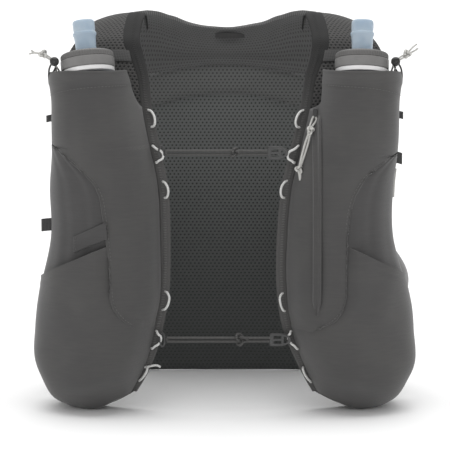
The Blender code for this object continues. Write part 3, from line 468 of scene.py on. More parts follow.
def srgb(code):
    """Linear colour of an sRGB hex code."""
    value = []
    for k in (1, 3, 5):
        part = int(code[k:k + 2], 16) / 255
        value.append(part / 12.92 if part <= 0.04045 else ((part + 0.055) / 1.055) ** 2.4)
    return (*value, 1.0)


MATH = "ShaderNodeMath"
RANGE = "ShaderNodeMapRange"
SMOOTH = {"interpolation_type": "SMOOTHSTEP"}


def add_node(tree, kind, values=(), output=0, **settings):
    """Add a node with its settings. values holds numbers, colours or sockets for its inputs, in
    order or by name or index. Gives one of its outputs."""
    made = tree.nodes.new(kind)
    for name, value in settings.items():
        setattr(made, name, value)
    pairs = values.items() if isinstance(values, dict) else enumerate(values)
    for socket, value in pairs:
        if isinstance(value, bpy.types.NodeSocket):
            tree.links.new(value, made.inputs[socket])
        else:
            made.inputs[socket].default_value = value
    return made.outputs[output]


def new_surface(name, roughness, **sockets):
    """Named material with a Principled shader, its tree and its shader."""
    made = bpy.data.materials.new(name)
    made.use_nodes = True
    tree = made.node_tree
    shader = tree.nodes["Principled BSDF"]
    shader.inputs["Roughness"].default_value = roughness
    for socket, value in sockets.items():
        shader.inputs[socket.replace("_", " ")].default_value = value
    return made, tree, shader


def dress(tree, shader, dark, light, tone, height, distance):
    """Colour from dark to light by a tone from 0 to 1, and relief by a height."""
    colour = add_node(tree, "ShaderNodeMix", {0: tone, 6: srgb(dark), 7: srgb(light)}, 2,
                      data_type="RGBA")
    tree.links.new(colour, shader.inputs["Base Color"])
    normal = add_node(tree, "ShaderNodeBump", {"Height": height, "Distance": distance})
    tree.links.new(normal, shader.inputs["Normal"])


def cloth_axes(tree, flat=False):
    """Sockets along and across the cloth in metres: its UV map, or the object's X and Z."""
    source = add_node(tree, "ShaderNodeTexCoord", output="Object" if flat else "UV")
    along = add_node(tree, "ShaderNodeSeparateXYZ", [source])
    return along, along.node.outputs["Z" if flat else "Y"]


def wave(tree, socket, pitch):
    """Cosine along a socket with a pitch in metres."""
    turns = add_node(tree, MATH, [socket, 2 * pi / pitch], operation="MULTIPLY")
    return add_node(tree, MATH, [turns], operation="COSINE")


def honeycomb(tree, u, v, pitch, rows):
    """Lattice from -1.5 to 3 that peaks at holes a pitch apart, in staggered rows."""
    across = add_node(tree, MATH, [u, 2 * pi / pitch], operation="MULTIPLY")
    along = add_node(tree, MATH, [v, 2 * pi / rows], operation="MULTIPLY")
    total = wave(tree, v, 0.5 * rows)
    for way in ("ADD", "SUBTRACT"):
        slant = add_node(tree, MATH, [across, along], operation=way)
        slant = add_node(tree, MATH, [slant], operation="COSINE")
        total = add_node(tree, MATH, [total, slant], operation="ADD")
    return total


def noise_of(tree, scale, detail=3.0, stretch=(1.0, 1.0, 1.0)):
    """Noise from 0 to 1 on Object coordinates, scale in cycles a metre."""
    coords = add_node(tree, "ShaderNodeTexCoord", output="Object")
    coords = add_node(tree, "ShaderNodeMapping", {"Vector": coords, "Scale": stretch})
    return add_node(tree, "ShaderNodeTexNoise",
                    {"Vector": coords, "Scale": scale, "Detail": detail}, "Fac")


def woven_cloth(name, dark, light, thread=0.0011, sheen=0.25):
    """Woven nylon: fine crossing threads, faint slubs and a soft sheen. The threads are drawn
    about three times too coarse, so that they show at all in a picture of the whole vest."""
    made, tree, shader = new_surface(name, 0.78, Sheen_Weight=sheen, Sheen_Roughness=0.5)
    u, v = cloth_axes(tree)
    threads = add_node(tree, MATH, [wave(tree, u, thread), wave(tree, v, thread)],
                       operation="MULTIPLY")
    slubs = noise_of(tree, 260.0, 2.0, (0.25, 0.25, 2.6))
    broad = noise_of(tree, 26.0, 2.0)
    tone = add_node(tree, MATH, [slubs, broad], operation="ADD")
    tone = add_node(tree, RANGE, [tone, 0.7, 1.3], **SMOOTH)
    height = add_node(tree, MATH, [threads, 0.4, slubs], operation="MULTIPLY_ADD")
    dress(tree, shader, dark, light, tone, height, 0.00006)
    return made


# Painted shade on the flat back meshes: heights inside the vest and the yarn's tone there
BACK_SHADE = (-0.11, -0.34, 1.22, 0.25)   # two heights inside the vest and its tones there


def holed_mesh(name, hole, thread, pitch, rows, size, depth, flat=False):
    """Spacer mesh: a knit face with staggered round holes that show the dark layer below. A
    flat one has painted shade: its yarn is painted darker low down inside the vest."""
    made, tree, shader = new_surface(name, 0.88, Sheen_Weight=0.12, Sheen_Roughness=0.5)
    u, v = cloth_axes(tree, flat)
    lattice = honeycomb(tree, u, v, pitch, rows)
    face = add_node(tree, RANGE, [lattice, size + 0.7, size - 0.5], **SMOOTH)
    knit = noise_of(tree, 420.0, 2.0)
    grain = add_node(tree, MATH, [knit, 0.5, 0.72], operation="MULTIPLY_ADD")
    tone = add_node(tree, MATH, [face, grain], operation="MULTIPLY")
    # Painted shade: the yarn's colour darkens lower down inside the vest
    if flat:
        shade = add_node(tree, RANGE, [v, *BACK_SHADE])
        tone = add_node(tree, MATH, [tone, shade], operation="MULTIPLY")
    height = add_node(tree, MATH, [knit, 0.15, face], operation="MULTIPLY_ADD")
    dress(tree, shader, hole, thread, tone, height, depth)
    return made


RUNG_PITCH = 0.0024        # stitches of the ladder on the edge binding
TRICOT = (0.0026, 0.0034)  # pitch and rows of its knit


def edge_cloth(name, dark, light):
    """Fold-over edge of fine tricot with a ladder of cover stitches in a band 3 mm wide along
    it. Its colour has painted shade over the shoulder, where it is darker and the ladder fades out."""
    made, tree, shader = new_surface(name, 0.85)
    u, v = cloth_axes(tree)
    height = cloth_axes(tree, True)[1]
    # Painted shade: 0 over the shoulder, rising lower down, where the binding is painted lighter
    painted_shade_ramp = add_node(tree, RANGE, [height, -0.035, -0.115, 0.0, 0.55])
    grain = add_node(tree, RANGE, [honeycomb(tree, u, v, *TRICOT), 2.0, -1.5, 0.0, 0.08])
    rungs = add_node(tree, RANGE, [wave(tree, v, RUNG_PITCH), -0.2, 0.7], **SMOOTH)
    middle = add_node(tree, MATH, [u], operation="ABSOLUTE")
    band = add_node(tree, RANGE, [middle, 0.0019, 0.0012], **SMOOTH)
    ladder = add_node(tree, MATH, [rungs, band], operation="MULTIPLY")
    seen = add_node(tree, MATH, [ladder, painted_shade_ramp], operation="MULTIPLY")
    tone = add_node(tree, MATH, [seen, 0.5, grain], operation="MULTIPLY_ADD")
    tone = add_node(tree, MATH, [tone, painted_shade_ramp], operation="ADD")
    dress(tree, shader, dark, light, tone, ladder, 0.0003)
    return made


def webbing(name, dark, light, rib=0.0016):
    """Flat woven tape: ribs across it and a slightly shiny face."""
    made, tree, shader = new_surface(name, 0.62)
    u, v = cloth_axes(tree)
    ribs = add_node(tree, MATH, [wave(tree, v, rib), 0.6, wave(tree, u, rib)],
                    operation="MULTIPLY_ADD")
    shade = add_node(tree, RANGE, [ribs, -1.2, 1.4], **SMOOTH)
    dress(tree, shader, dark, light, shade, shade, 0.00025)
    return made


def braided(name, dark, light, turn=0.0026):
    """Braided cord: two sets of four strands that spiral opposite ways round it."""
    made, tree, shader = new_surface(name, 0.75)
    u, v = cloth_axes(tree)
    round_it = add_node(tree, MATH, [u, 8 * pi], operation="MULTIPLY")
    along = add_node(tree, MATH, [v, 2 * pi / turn], operation="MULTIPLY")
    strands = []
    for way in ("ADD", "SUBTRACT"):
        spiral = add_node(tree, MATH, [round_it, along], operation=way)
        strands.append(add_node(tree, MATH, [spiral], operation="SINE"))
    weave_and_shade = add_node(tree, MATH, strands, operation="MULTIPLY")
    weave_and_shade = add_node(tree, RANGE, [weave_and_shade, -0.8, 0.8], **SMOOTH)
    # Painted shade: the colour is darker in the valleys between the strands, where the weave is low
    dress(tree, shader, dark, light, weave_and_shade, weave_and_shade, 0.0003)
    return made


def moulded(name, dark, light, roughness, grain=900.0, **sockets):
    """Injection moulded plastic: nearly even colour, with fine spark grain in its gloss."""
    made, tree, shader = new_surface(name, roughness, **sockets)
    speck = noise_of(tree, grain, 2.0)
    tone = add_node(tree, RANGE, [noise_of(tree, 60.0, 2.0), 0.3, 0.7], **SMOOTH)
    gloss = add_node(tree, RANGE, [speck, 0.0, 1.0, roughness - 0.08, roughness + 0.10])
    tree.links.new(gloss, shader.inputs["Roughness"])
    dress(tree, shader, dark, light, tone, speck, 0.00005)
    return made


# Cloths: matt nylon that reads as one even grey, lighter in the stretched wings
POCKET_CLOTH = woven_cloth("woven nylon pocket cloth", "#414040", "#464544")
PANEL_CLOTH = woven_cloth("woven nylon side panel cloth", "#3b3a3a", "#403f3f")
POUCH_CLOTH = woven_cloth("woven nylon rear pouch cloth", "#424140", "#494847")
WING_CLOTH = woven_cloth("stretch nylon wing cloth", "#4e4d4c", "#575655", 0.0016, 0.35)
# Meshes: hole pitch and row spacing are the real ones, so the dots line up in slanting rows
STRAP_MESH = holed_mesh("open diamond strap mesh", "#0e0e0e", "#434241", 0.0041, 0.0062, 0.35,
                        0.0009)
BACK_MESH = holed_mesh("hexagonal back mesh", "#353736", "#6a6c6b", 0.0042, 0.0067, 1.15, 0.0004,
                       True)
BAND_MESH = holed_mesh("upper back mesh", "#3f403f", "#676867", 0.0042, 0.0066, 1.0, 0.0004,
                       True)
YOKE_MESH = holed_mesh("fine yoke mesh", "#474746", "#606060", 0.0030, 0.0048, 0.9, 0.0004)
EDGE_CLOTH = edge_cloth("tricot edge binding", "#121212", "#626160")
WEB_TAPE = webbing("woven strap tape", "#2f2f2e", "#403f3f")
TAB_TAPE = webbing("woven tab tape", "#2e2e2e", "#474646", 0.0014)
THREAD = braided("polyester sewing thread", "#5b5a59", "#716f6e", 0.0012)
# Cords: soft braids, white and pale grey ones, with painted shade greying the valleys between their
# strands
LACE = braided("white braided lace", "#c2c1bf", "#f4f4f2")
GREY_CORD = braided("pale grey braided cord", "#b2b1ad", "#e6e5e1", 0.0022)
DARK_CORD = braided("dark grey shock cord", "#353534", "#626160", 0.0024)
# Plastics: acetal hooks and locks with a soft shine, a satin cap with a darker grip, a milky
# collar, a pale blue valve that lets some light through and a clear film inside the pocket
HOOK_PLASTIC = moulded("acetal hook plastic", "#393939", "#444444", 0.36)
LOCK_PLASTIC = moulded("acetal cord lock plastic", "#2a2a2a", "#343434", 0.45)
CAP_PLASTIC = moulded("polypropylene cap plastic", "#737271", "#7b7a79", 0.48)
GRIP_PLASTIC = moulded("polypropylene cap grip", "#5b5a59", "#636261", 0.42)
COLLAR_PLASTIC = moulded("white flask collar plastic", "#e3e2e2", "#efeeee", 0.35)
VALVE_RUBBER = moulded("pale blue silicone", "#a5b8c9", "#b6c5d2", 0.33, 500.0,
                       Subsurface_Weight=0.3, Subsurface_Scale=0.004,
                       Subsurface_Radius=(0.7, 0.85, 1.0), Transmission_Weight=0.12)
FLASK_FILM = moulded("clear flask film", "#b9c3ca", "#cdd5da", 0.25, 300.0,
                     Transmission_Weight=0.35)


def settle(name, bm, surface, *nodes, smooth=35.0, body="root"):
    """Turn a finished bmesh into a piece that rides on the vest and stands for CAD nodes."""
    mesh = bpy.data.meshes.new(name)
    bm.to_mesh(mesh)
    bm.free()
    mesh.materials.append(surface)
    mesh.shade_smooth()
    mesh.set_sharp_from_angle(angle=radians(smooth))
    item = bpy.data.objects.new(name, mesh)
    bpy.context.scene.collection.objects.link(item)
    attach(item, body)
    if nodes:
        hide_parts(*nodes)
    return item


def laid_grid(columns, rows, place, relief=None, flip=False):
    """Grid laid on place(a, b), with a UV map in metres measured from its middle column."""
    bm = bmesh.new()
    bmesh.ops.create_grid(bm, x_segments=columns, y_segments=rows, size=0.5)
    shares, spots = {}, {}
    for vert in bm.verts:
        a, b = vert.co.x + 0.5, vert.co.y + 0.5
        shares[vert] = (a, b)
        spots[round(a * columns), round(b * rows)] = vert
        vert.co = place(a, b)
    if flip:
        bmesh.ops.reverse_faces(bm, faces=bm.faces)
    if relief:
        bm.normal_update()
        moved = [(vert, vert.co + vert.normal * relief(*shares[vert])) for vert in bm.verts]
        for vert, spot in moved:
            vert.co = spot
    middle = columns // 2
    flat, v = {}, 0.0
    for j in range(rows + 1):
        if j:
            v += (spots[middle, j].co - spots[middle, j - 1].co).length
        flat[spots[middle, j]] = (0.0, v)
        for way in (1, -1):
            u, i = 0.0, middle
            while 0 <= i + way <= columns:
                u += way * (spots[i + way, j].co - spots[i, j].co).length
                i += way
                flat[spots[i, j]] = (u, v)
    layer = bm.loops.layers.uv.new("cloth")
    for face in bm.faces:
        for corner in face.loops:
            corner[layer].uv = flat[corner.vert]
    return bm, v


def cloth(name, columns, rows, place, wall, surface, *nodes, relief=None, flip=False, held=None,
          fill=None):
    """Sewn cloth with a real wall, whose outer face is place(a, b). Its fill and held are
    not used."""
    bm, length = laid_grid(columns, rows, place, relief, flip)
    area = sum(face.calc_area() for face in bm.faces)
    item = settle(name, bm, surface, *nodes)
    solid = item.modifiers.new("wall", "SOLIDIFY")
    solid.thickness = wall
    solid.offset = -1.0
    soft = item.modifiers.new("rolled edge", "BEVEL")
    soft.width = 0.3 * wall
    soft.segments = 2
    soft.limit_method = "ANGLE"
    soft.angle_limit = radians(50)


def cord_frames(route):
    """Two directions across a route at each of its points, without twist."""
    frames = []
    side = None
    for k in range(len(route)):
        ahead = route[min(k + 1, len(route) - 1)] - route[max(k - 1, 0)]
        ahead.normalize()
        if side is None:
            side = ahead.cross(Vector((0.0, 1.0, 0.0)))
            if side.length < 0.1:
                side = ahead.cross(Vector((0.0, 0.0, 1.0)))
        side = (side - ahead * side.dot(ahead)).normalized()
        frames.append((side, ahead.cross(side)))
    return frames


def rope(name, points, radius, surface, *nodes, around=10, spacing=0.0008, free=None):
    """Round cord along a smooth route, its ends closed. free is not used."""
    route = smooth_route([Vector(point) for point in points], spacing)
    frames = cord_frames(route)
    last = len(route) - 1

    def skin(a, b):
        k = round(b * last)
        turn = 2 * pi * a
        side, up = frames[k]
        return route[k] + (side * cos(turn) + up * sin(turn)) * radius

    bm, _ = laid_grid(around, last, skin)
    layer = bm.loops.layers.uv.active
    for face in bm.faces:
        for corner in face.loops:
            corner[layer].uv.x /= 2 * pi * radius
    bmesh.ops.remove_doubles(bm, verts=bm.verts, dist=radius * 0.05)
    bmesh.ops.holes_fill(bm, edges=bm.edges, sides=0)
    bmesh.ops.recalc_face_normals(bm, faces=bm.faces)
    item = settle(name, bm, surface, *nodes, smooth=70.0)


KNOT_LAP = 1.03            # turns of an overhand knot, so that its ends overlap


def tie(name, middle, knot, surface, node):
    """Overhand knot of cord about a point."""
    points = []
    for k in range(37):
        t = 2 * pi * KNOT_LAP * k / 36
        spot = Vector((knot.size[0] * (sin(t) + 2 * sin(2 * t)) / 6,
                       knot.size[1] * sin(3 * t) / 2,
                       knot.size[2] * (cos(t) - 2 * cos(2 * t)) / 6))
        points.append(Vector(middle) + Matrix.Rotation(knot.turn, 3, "Y") @ spot)
    rope(name, points, knot.cord, surface, node)


def spun(name, profile, place, surface, *nodes, steps=72, ribs=None):
    """Solid of revolution about its own Z, put in place by a matrix. ribs is a function that
    gives a vertex its share of the radius from its turn and height."""
    bm = bmesh.new()
    corners = [bm.verts.new((radius, 0.0, height)) for radius, height in profile]
    for low, high in zip(corners, corners[1:]):
        bm.edges.new((low, high))
    bmesh.ops.spin(bm, geom=bm.verts[:] + bm.edges[:], cent=(0, 0, 0), axis=(0, 0, 1),
                   angle=2 * pi, steps=steps, use_merge=True)
    bmesh.ops.remove_doubles(bm, verts=bm.verts, dist=1e-6)
    if ribs:
        for vert in bm.verts:
            share = ribs(atan2(vert.co.y, vert.co.x), vert.co.z)
            vert.co.x *= share
            vert.co.y *= share
    bmesh.ops.recalc_face_normals(bm, faces=bm.faces)
    bmesh.ops.transform(bm, matrix=place, verts=bm.verts)
    return settle(name, bm, surface, *nodes)


def rounded(points, radius, steps=5):
    """Corners of a closed outline rounded off, in the plane."""
    made = []
    count = len(points)
    for k in range(count):
        before, here, after = (Vector(points[(k + step) % count]) for step in (-1, 0, 1))
        start = here + (before - here).normalized() * radius
        end = here + (after - here).normalized() * radius
        for step in range(steps + 1):
            f = step / steps
            made.append(start.lerp(here, f).lerp(here.lerp(end, f), f))
    return made


def plate(name, outlines, thickness, place, surface, *nodes, edge=0.0004):
    """Flat moulded plate with holes: its first outline is the rim, the others are holes."""
    curve = bpy.data.curves.new(name, "CURVE")
    curve.dimensions = "2D"
    curve.fill_mode = "BOTH"
    curve.extrude = 0.5 * thickness - edge
    curve.bevel_depth = edge
    curve.bevel_resolution = 2
    for outline in outlines:
        spline = curve.splines.new("POLY")
        spline.points.add(len(outline) - 1)
        for point, spot in zip(spline.points, outline):
            point.co = (spot[0], spot[1], 0.0, 1.0)
        spline.use_cyclic_u = True
    shape = bpy.data.objects.new(name + "_outline", curve)
    bpy.context.scene.collection.objects.link(shape)
    bpy.context.view_layer.update()
    flat = shape.evaluated_get(bpy.context.evaluated_depsgraph_get()).to_mesh()
    bm = bmesh.new()
    bm.from_mesh(flat)
    shape.to_mesh_clear()
    bpy.data.objects.remove(shape)
    bmesh.ops.remove_doubles(bm, verts=bm.verts, dist=1e-6)
    bmesh.ops.recalc_face_normals(bm, faces=bm.faces)
    bmesh.ops.transform(bm, matrix=place, verts=bm.verts)
    return settle(name, bm, surface, *nodes)


STITCH_GAP = 0.0010
STITCH_RADIUS = 0.00024


def stitches(name, route, lifts, length=0.0024):
    """Row of sewn stitches along a route; lifts gives the outward direction at a point."""
    bm = bmesh.new()
    fine = smooth_route(route, length + STITCH_GAP)
    for k, (here, after) in enumerate(zip(fine, fine[1:])):
        along = (after - here).normalized()
        out = lifts(k / max(len(fine) - 2, 1))
        wide = along.cross(out).normalized()
        out = wide.cross(along)
        axes = Matrix((along, wide, out)).transposed().to_4x4()
        spot = Matrix.Translation(here + along * 0.5 * length)
        size = Matrix.Diagonal((0.5 * length, STITCH_RADIUS, STITCH_RADIUS, 1.0))
        bmesh.ops.create_uvsphere(bm, u_segments=6, v_segments=4, radius=1.0,
                                  matrix=spot @ axes @ size)
    settle(name, bm, THREAD, smooth=80.0)


def ripple(point, size, amount):
    """Soft uneven relief of a cloth, with waves of one size."""
    return amount * noise.noise(Vector(point) / size)


def ridge(x, middle, width):
    """Round ridge that is 1 at the middle and 0 a width away."""
    f = min(abs(x - middle) / width, 1.0)
    return 0.5 + 0.5 * cos(pi * f)


# Thicknesses of the cloths and pads
CLOTH_THICK = 0.0011       # pocket cloth at its turned edges
PANEL_THICK = 0.0010
BINDING_THICK = 0.0005
PAD_THICK = 0.0046
UPPER_THICK = 0.0045

# How the cloth is cut, lapped and folded over the vest
EDGE_PROUD = 0.0004        # edge binding off the harness face
EDGE_STRAP_WIDTH = 0.0125  # its width over the shoulder
EDGE_NARROWS = (6.3, 1.6)  # station where it is down to the pockets' margin, and over how many
EDGE_WRAP = 0.25           # share of its cloth that wraps the rim
EDGE_UNDER = 0.0016        # how far it runs under the pocket's edge
TAPE_DROP = 0.080          # web tape across the strap, its top as a share of DROP
TAPE_HEIGHT = 0.0104
SEAM_LAP = 0.0030          # side panel and lower pocket under the chest pocket's edge
LACE_THICK = 0.00112       # radius of the lace as it shows, with its fuzz
MOUTH_FLARE = 0.0055       # how far the mouth's outer corner stands out
MOUTH_CUT = 0.0028         # slant cut off the left mouth's inner corner
MOUTH_STEP = 0.0008        # step in the right pocket's inner edge, above its zip
STEP_AT = (0.190, 0.035)   # where that step ends and its length, shares of the pocket's
LACE_ROOT = 0.0045         # where a lace loop leaves the binding, off the pocket's edge
LACE_SINK = 0.0030         # how far the lace is sunk in the binding between its loops
LOOP_OVER = 0.0026         # how far a loop's round tip passes its nominal reach
LOOP_AWAY = 0.010          # from a loop's end to where the lace is sunk, a share of DROP
PULLED_OVER = 0.0013       # the same two where a sternum strap pulls the loop
PULLED_AWAY = 0.003
BACK_LAP = 0.0035          # how far a back pad runs up behind the one above
UPPER_LAP = 0.0080         # how far the upper back runs up behind the yoke
YOKE_EDGE = 0.0012         # yoke's lower edge above the crease
HEM_SAG = 0.0029           # how far the back's hem hangs below the solid's
YOKE_TUCK = 0.0080         # how far the yoke's ends run out under the straps
YOKE_PEAK = 0.0034         # how far its upper edge rises near the straps
MOUTH_HEM = 0.0135         # depth of the hem round the flask pocket's mouth
HEM_RISE = 0.0005          # how far that hem stands off the cloth
CAP_RIBS = 60              # grip ribs round a flask cap
RIB_DEPTH = 0.020          # a share of the cap's radius
FILM_NECK = 0.1            # share of the flask film's length that is its round neck
FUZZ = 1.15                # radius of a braid as it shows, as a share of its core's
FLOOR_DROP = 0.3722        # floor below the origin
FLOOR_GAP = 0.0008         # lowest cloth above the floor

# Lower outer corner of a pocket: where it is pushed out and pulled in (distance from the
# vest's centre and height), by how much, and how far that spreads
PUSH_SPOT, PUSH, PUSH_SPREAD = (0.157, -0.353), 0.0072, 0.0140
PULL_SPOT, PULL, PULL_SPREAD = (0.178, -0.334), 0.0014, 0.0110


# The cloths are laid by functions of a, a share of their width, and b, a share of their length.
# In the relief functions the amounts are heights in metres and the places are such shares.
def make_harness(side):
    """Shoulder strap and front panel, with its padded edge binding and the web tape."""
    hand = SIDE_NAMES[side]
    flip = side == RIGHT
    cloth("strap_and_panel_" + hand, 18, 190,
          lambda a, b: harness_point(side, a, b * LAST_ROW), HARNESS_WALL, STRAP_MESH,
          "harness_" + hand, flip=flip, fill=0.25)
    radius = 0.5 * HARNESS_WALL + EDGE_PROUD

    def edge(a, b):
        run = b * LAST_ROW
        chord = chord_width(side, run)
        strap = clamp((EDGE_NARROWS[0] - run) / EDGE_NARROWS[1])
        width = pocket_inset(run) + EDGE_UNDER + strap * (EDGE_STRAP_WIDTH - POCKET_INSET)
        if a < EDGE_WRAP:
            angle = pi * (a / EDGE_WRAP - 0.5)
            return harness_point(side, -radius * cos(angle) / chord, run,
                                 radius * sin(angle) - 0.5 * HARNESS_WALL)
        over = width * (a - EDGE_WRAP) / (1 - EDGE_WRAP)
        sink = EDGE_PROUD * max(0.0, (a - 0.85) / 0.15)
        return harness_point(side, over / chord, run, EDGE_PROUD - sink + 0.00005)

    def pinch(a, b):
        soft = 0.00045 * (ridge(a, 0.55, 0.2)) * (1 if b * LAST_ROW < 6 else 0.4)
        return soft + ripple(harness_point(side, a, b * LAST_ROW), 0.012, 0.0002)

    cloth("edge_band_" + hand, 16, 230, edge, BINDING_THICK, EDGE_CLOTH,
          "edge_binding_" + hand, relief=pinch, flip=flip, fill=0.4)

    def band(a, b):
        top = run_at(TAPE_DROP * DROP)
        low = run_at(TAPE_DROP * DROP + TAPE_HEIGHT)
        run = top + (low - top) * b
        start = (EDGE_STRAP_WIDTH - 0.002) / chord_width(side, run)
        return harness_point(side, start + (1.0 - start) * a, run, 0.0012)

    cloth("strap_tape_" + hand, 30, 6, band, CLOTH_THICK, WEB_TAPE, "strap_band_" + hand,
          flip=flip, held="stretched")


def snug(across):
    """Fall of the pocket's cloth to the harness at its inner edge."""
    return -2.1 * LACE_RADIUS * max(0.0, 1 - 4 * across)


def pocket_folds(side, across, run):
    """Relief of the pockets' cloth: long soft folds below the flask and a faint unevenness."""
    spot = pocket_point(side, across, run)
    low = clamp((run - 8.0) / 2.5)
    folds = noise.noise(Vector((spot.x / 0.011, 0.3 * side, spot.z / 0.09)))
    sags = noise.noise(Vector((spot.x / 0.035, spot.z / 0.028, 2.0 * side)))
    return (0.4 + low) * 0.0013 * folds + 0.0011 * sags * low


def fuller(side, spot):
    """Lower outer corner of a pocket, pushed out so that its outline is round."""
    here = Vector((abs(spot.x), spot.z))
    push = PUSH * exp(-(here - Vector(PUSH_SPOT)).length_squared / (2 * PUSH_SPREAD ** 2))
    pull = PULL * exp(-(here - Vector(PULL_SPOT)).length_squared / (2 * PULL_SPREAD ** 2))
    moved = spot + Vector((side * (0.66 * push - pull), 0.0, -0.75 * push))
    moved.z = max(moved.z, -FLOOR_DROP + FLOOR_GAP)
    return moved


def make_pockets(side):
    """Chest pocket with its mouth, side panel and lower pocket over one bulging surface."""
    hand = SIDE_NAMES[side]
    flip = side == RIGHT
    seam = SEAM[side]
    chest_end = run_at(seam[-1].drop * DROP - 0.4 * SEAM_GAP)
    bottom = LAST_ROW - 0.02

    def chest_place(a, b):
        mouth = run_at((MOUTH_DROP + MOUTH_FALL * max(0.0, 2 * a - 1) ** 2) * DROP)
        run = mouth + (chest_end - mouth) * b
        outer = seam_across(side, run)
        if outer < 1.0:
            outer += 0.4 * SEAM_GAP / chord_width(side, run)
        if side == LEFT:
            cut = MOUTH_CUT * max(0.0, 1 - 5.5 * b) ** 1.6
        else:
            cut = MOUTH_STEP * eased((STEP_AT[0] - b) / STEP_AT[1])
        corner = cut / chord_width(side, run)
        return corner + (outer - corner) * (0.5 - 0.5 * cos(pi * a)), run

    def chest(a, b):
        across, run = chest_place(a, b)
        lift = 0.0009 * clamp((run - run_at(seam[0].drop * DROP)) / 0.4) * a ** 6
        spot = pocket_point(side, across, run, lift + snug(across))
        flare = MOUTH_FLARE * a ** 4 * eased(1 - b / 0.15)
        return spot + Vector((side * flare, 0.0, 0.0))

    def chest_relief(a, b):
        across, run = chest_place(a, b)
        fallen = DROP * column("drop", run) - MOUTH_DROP * DROP
        hem = HEM_RISE if fallen < MOUTH_HEM else HEM_RISE * ridge(fallen, MOUTH_HEM, 0.0015)
        rolled = 0.0006 * ridge(fallen, 0.001, 0.002)
        puckers = 0.0003 * sin(fallen * 900) * max(0.0, a - 0.9) * 10 * (fallen > 0.07)
        return pocket_folds(side, across, run) + hem + rolled + puckers

    cloth("chest_pocket_cloth_" + hand, 48, 124, chest, CLOTH_THICK, POCKET_CLOTH,
          "chest_pocket_" + hand, relief=chest_relief, flip=flip, held="stretched")
    panel_top = run_at(seam[0].drop * DROP - 0.001)
    seam_low = run_at(seam[-1].drop * DROP - 0.035)

    def hem_run(a):
        share = HEM[side].seam_drop + (HEM[side].outer_drop - HEM[side].seam_drop) * a
        return run_at(share * DROP)

    def outboard(a, run):
        chord = chord_width(side, run)
        low = clamp((run - seam_low) / (chest_end - seam_low))
        inner = max(seam_across(side, run) - SEAM_LAP * (1 + 2.5 * low) / chord, 0.0)
        return inner + (1.0 - inner) * a

    def panel(a, b):
        tuck = HEM_OVERLAP * (1 - a ** 4)
        low = run_at(DROP * column("drop", hem_run(a)) + tuck)
        run = panel_top + (low - panel_top) * b
        sink = -0.0009 * max(0.0, 1 - 6 * a)
        return pocket_point(side, outboard(a, run), run, sink)

    def panel_relief(a, b):
        gap = -0.0050 * ridge(b, 1.0, 0.17) * ridge(a, 0.2, 0.5) * (side == LEFT)
        return (pocket_folds(side, a, panel_top + b) + gap + 0.0007 * ridge(b, 0.7, 0.2)
                * sin(9 * a) * (1 - a))

    cloth("side_panel_cloth_" + hand, 36, 46, panel, PANEL_THICK, PANEL_CLOTH, "side_panel_" + hand,
          relief=panel_relief, flip=flip, held="stretched")

    def lower(a, b):
        top = hem_run(a)
        run = top + (bottom - top) * min(1.0, b / 0.8)
        proud = max(0.0, 1 - 3.2 * b)
        under = max(0.0, (b - 0.8) / 0.2)
        side_taper = sin(pi * min(max(a, 0.06), 0.94)) ** 0.5
        lift = (POCKET_WALL + CLEARANCE) * min(1.0, 2 * proud) + HEM_PROUD * proud ** 2 * side_taper
        lift = lift * min(1.0, a / 0.14) ** 2 - 0.0012 * max(0.0, 1 - 6 * a)
        across = outboard(a, run)
        spot = pocket_point(side, across, run, lift + snug(across),
                            cos(0.5 * pi * under))
        return fuller(side, spot)

    def lower_relief(a, b):
        hem = 0.0007 * ridge(b, 0.0, 0.018) + 0.0004 * (b < 0.05)
        crease = 0.0012 * ridge(b, 0.40 + 0.05 * a, 0.10) * ridge(a, 0.55, 0.35)
        second = 0.0009 * ridge(b, 0.62 - 0.08 * a, 0.08) * ridge(a, 0.30, 0.28)
        spot = pocket_point(side, a, hem_run(a) + 3 * b)
        return hem - crease + second + ripple(spot + Vector((side, 0, 0)), 0.032, 0.0012)

    cloth("lower_pocket_cloth_" + hand, 48, 76, lower, CLOTH_THICK, POCKET_CLOTH,
          "lower_pocket_" + hand, relief=lower_relief, flip=flip, held="stretched")

    def off_pocket(at):
        return lambda f: over_pocket(side, 0.5, at, 1.0) - pocket_point(side, 0.5, at)

    def seam_route(inset, start, end, count=26):
        route = []
        for k in range(count + 1):
            f = k / count
            run = start + (end - start) * f
            across = seam_across(side, run) - inset / chord_width(side, run)
            route.append(over_pocket(side, max(across, 0.004), run, 0.0007))
        return route

    start, end = run_at((seam[0].drop + 0.014) * DROP), run_at(seam[-2].drop * DROP)
    stitches("seam_stitches_" + hand, seam_route(0.0016, start, end),
             off_pocket(0.5 * (start + end)))
    margin = []
    for k in range(31):
        run = run_at((MOUTH_DROP + 0.01 + (0.945 - MOUTH_DROP) * k / 30) * DROP)
        margin.append(over_pocket(side, 0.014, run, 0.0006 + snug(0.014)))
    stitches("margin_stitches_" + hand, margin, lambda f: harness_normal(side, 10.0))
    hem_line = [over_pocket(side, 0.03 + 0.86 * k / 16, run_at(MOUTH_DROP * DROP + MOUTH_HEM
                                                              + 0.01 * (k / 16) ** 2), 0.0008)
                for k in range(17)]
    stitches("mouth_stitches_" + hand, hem_line, off_pocket(6.0))


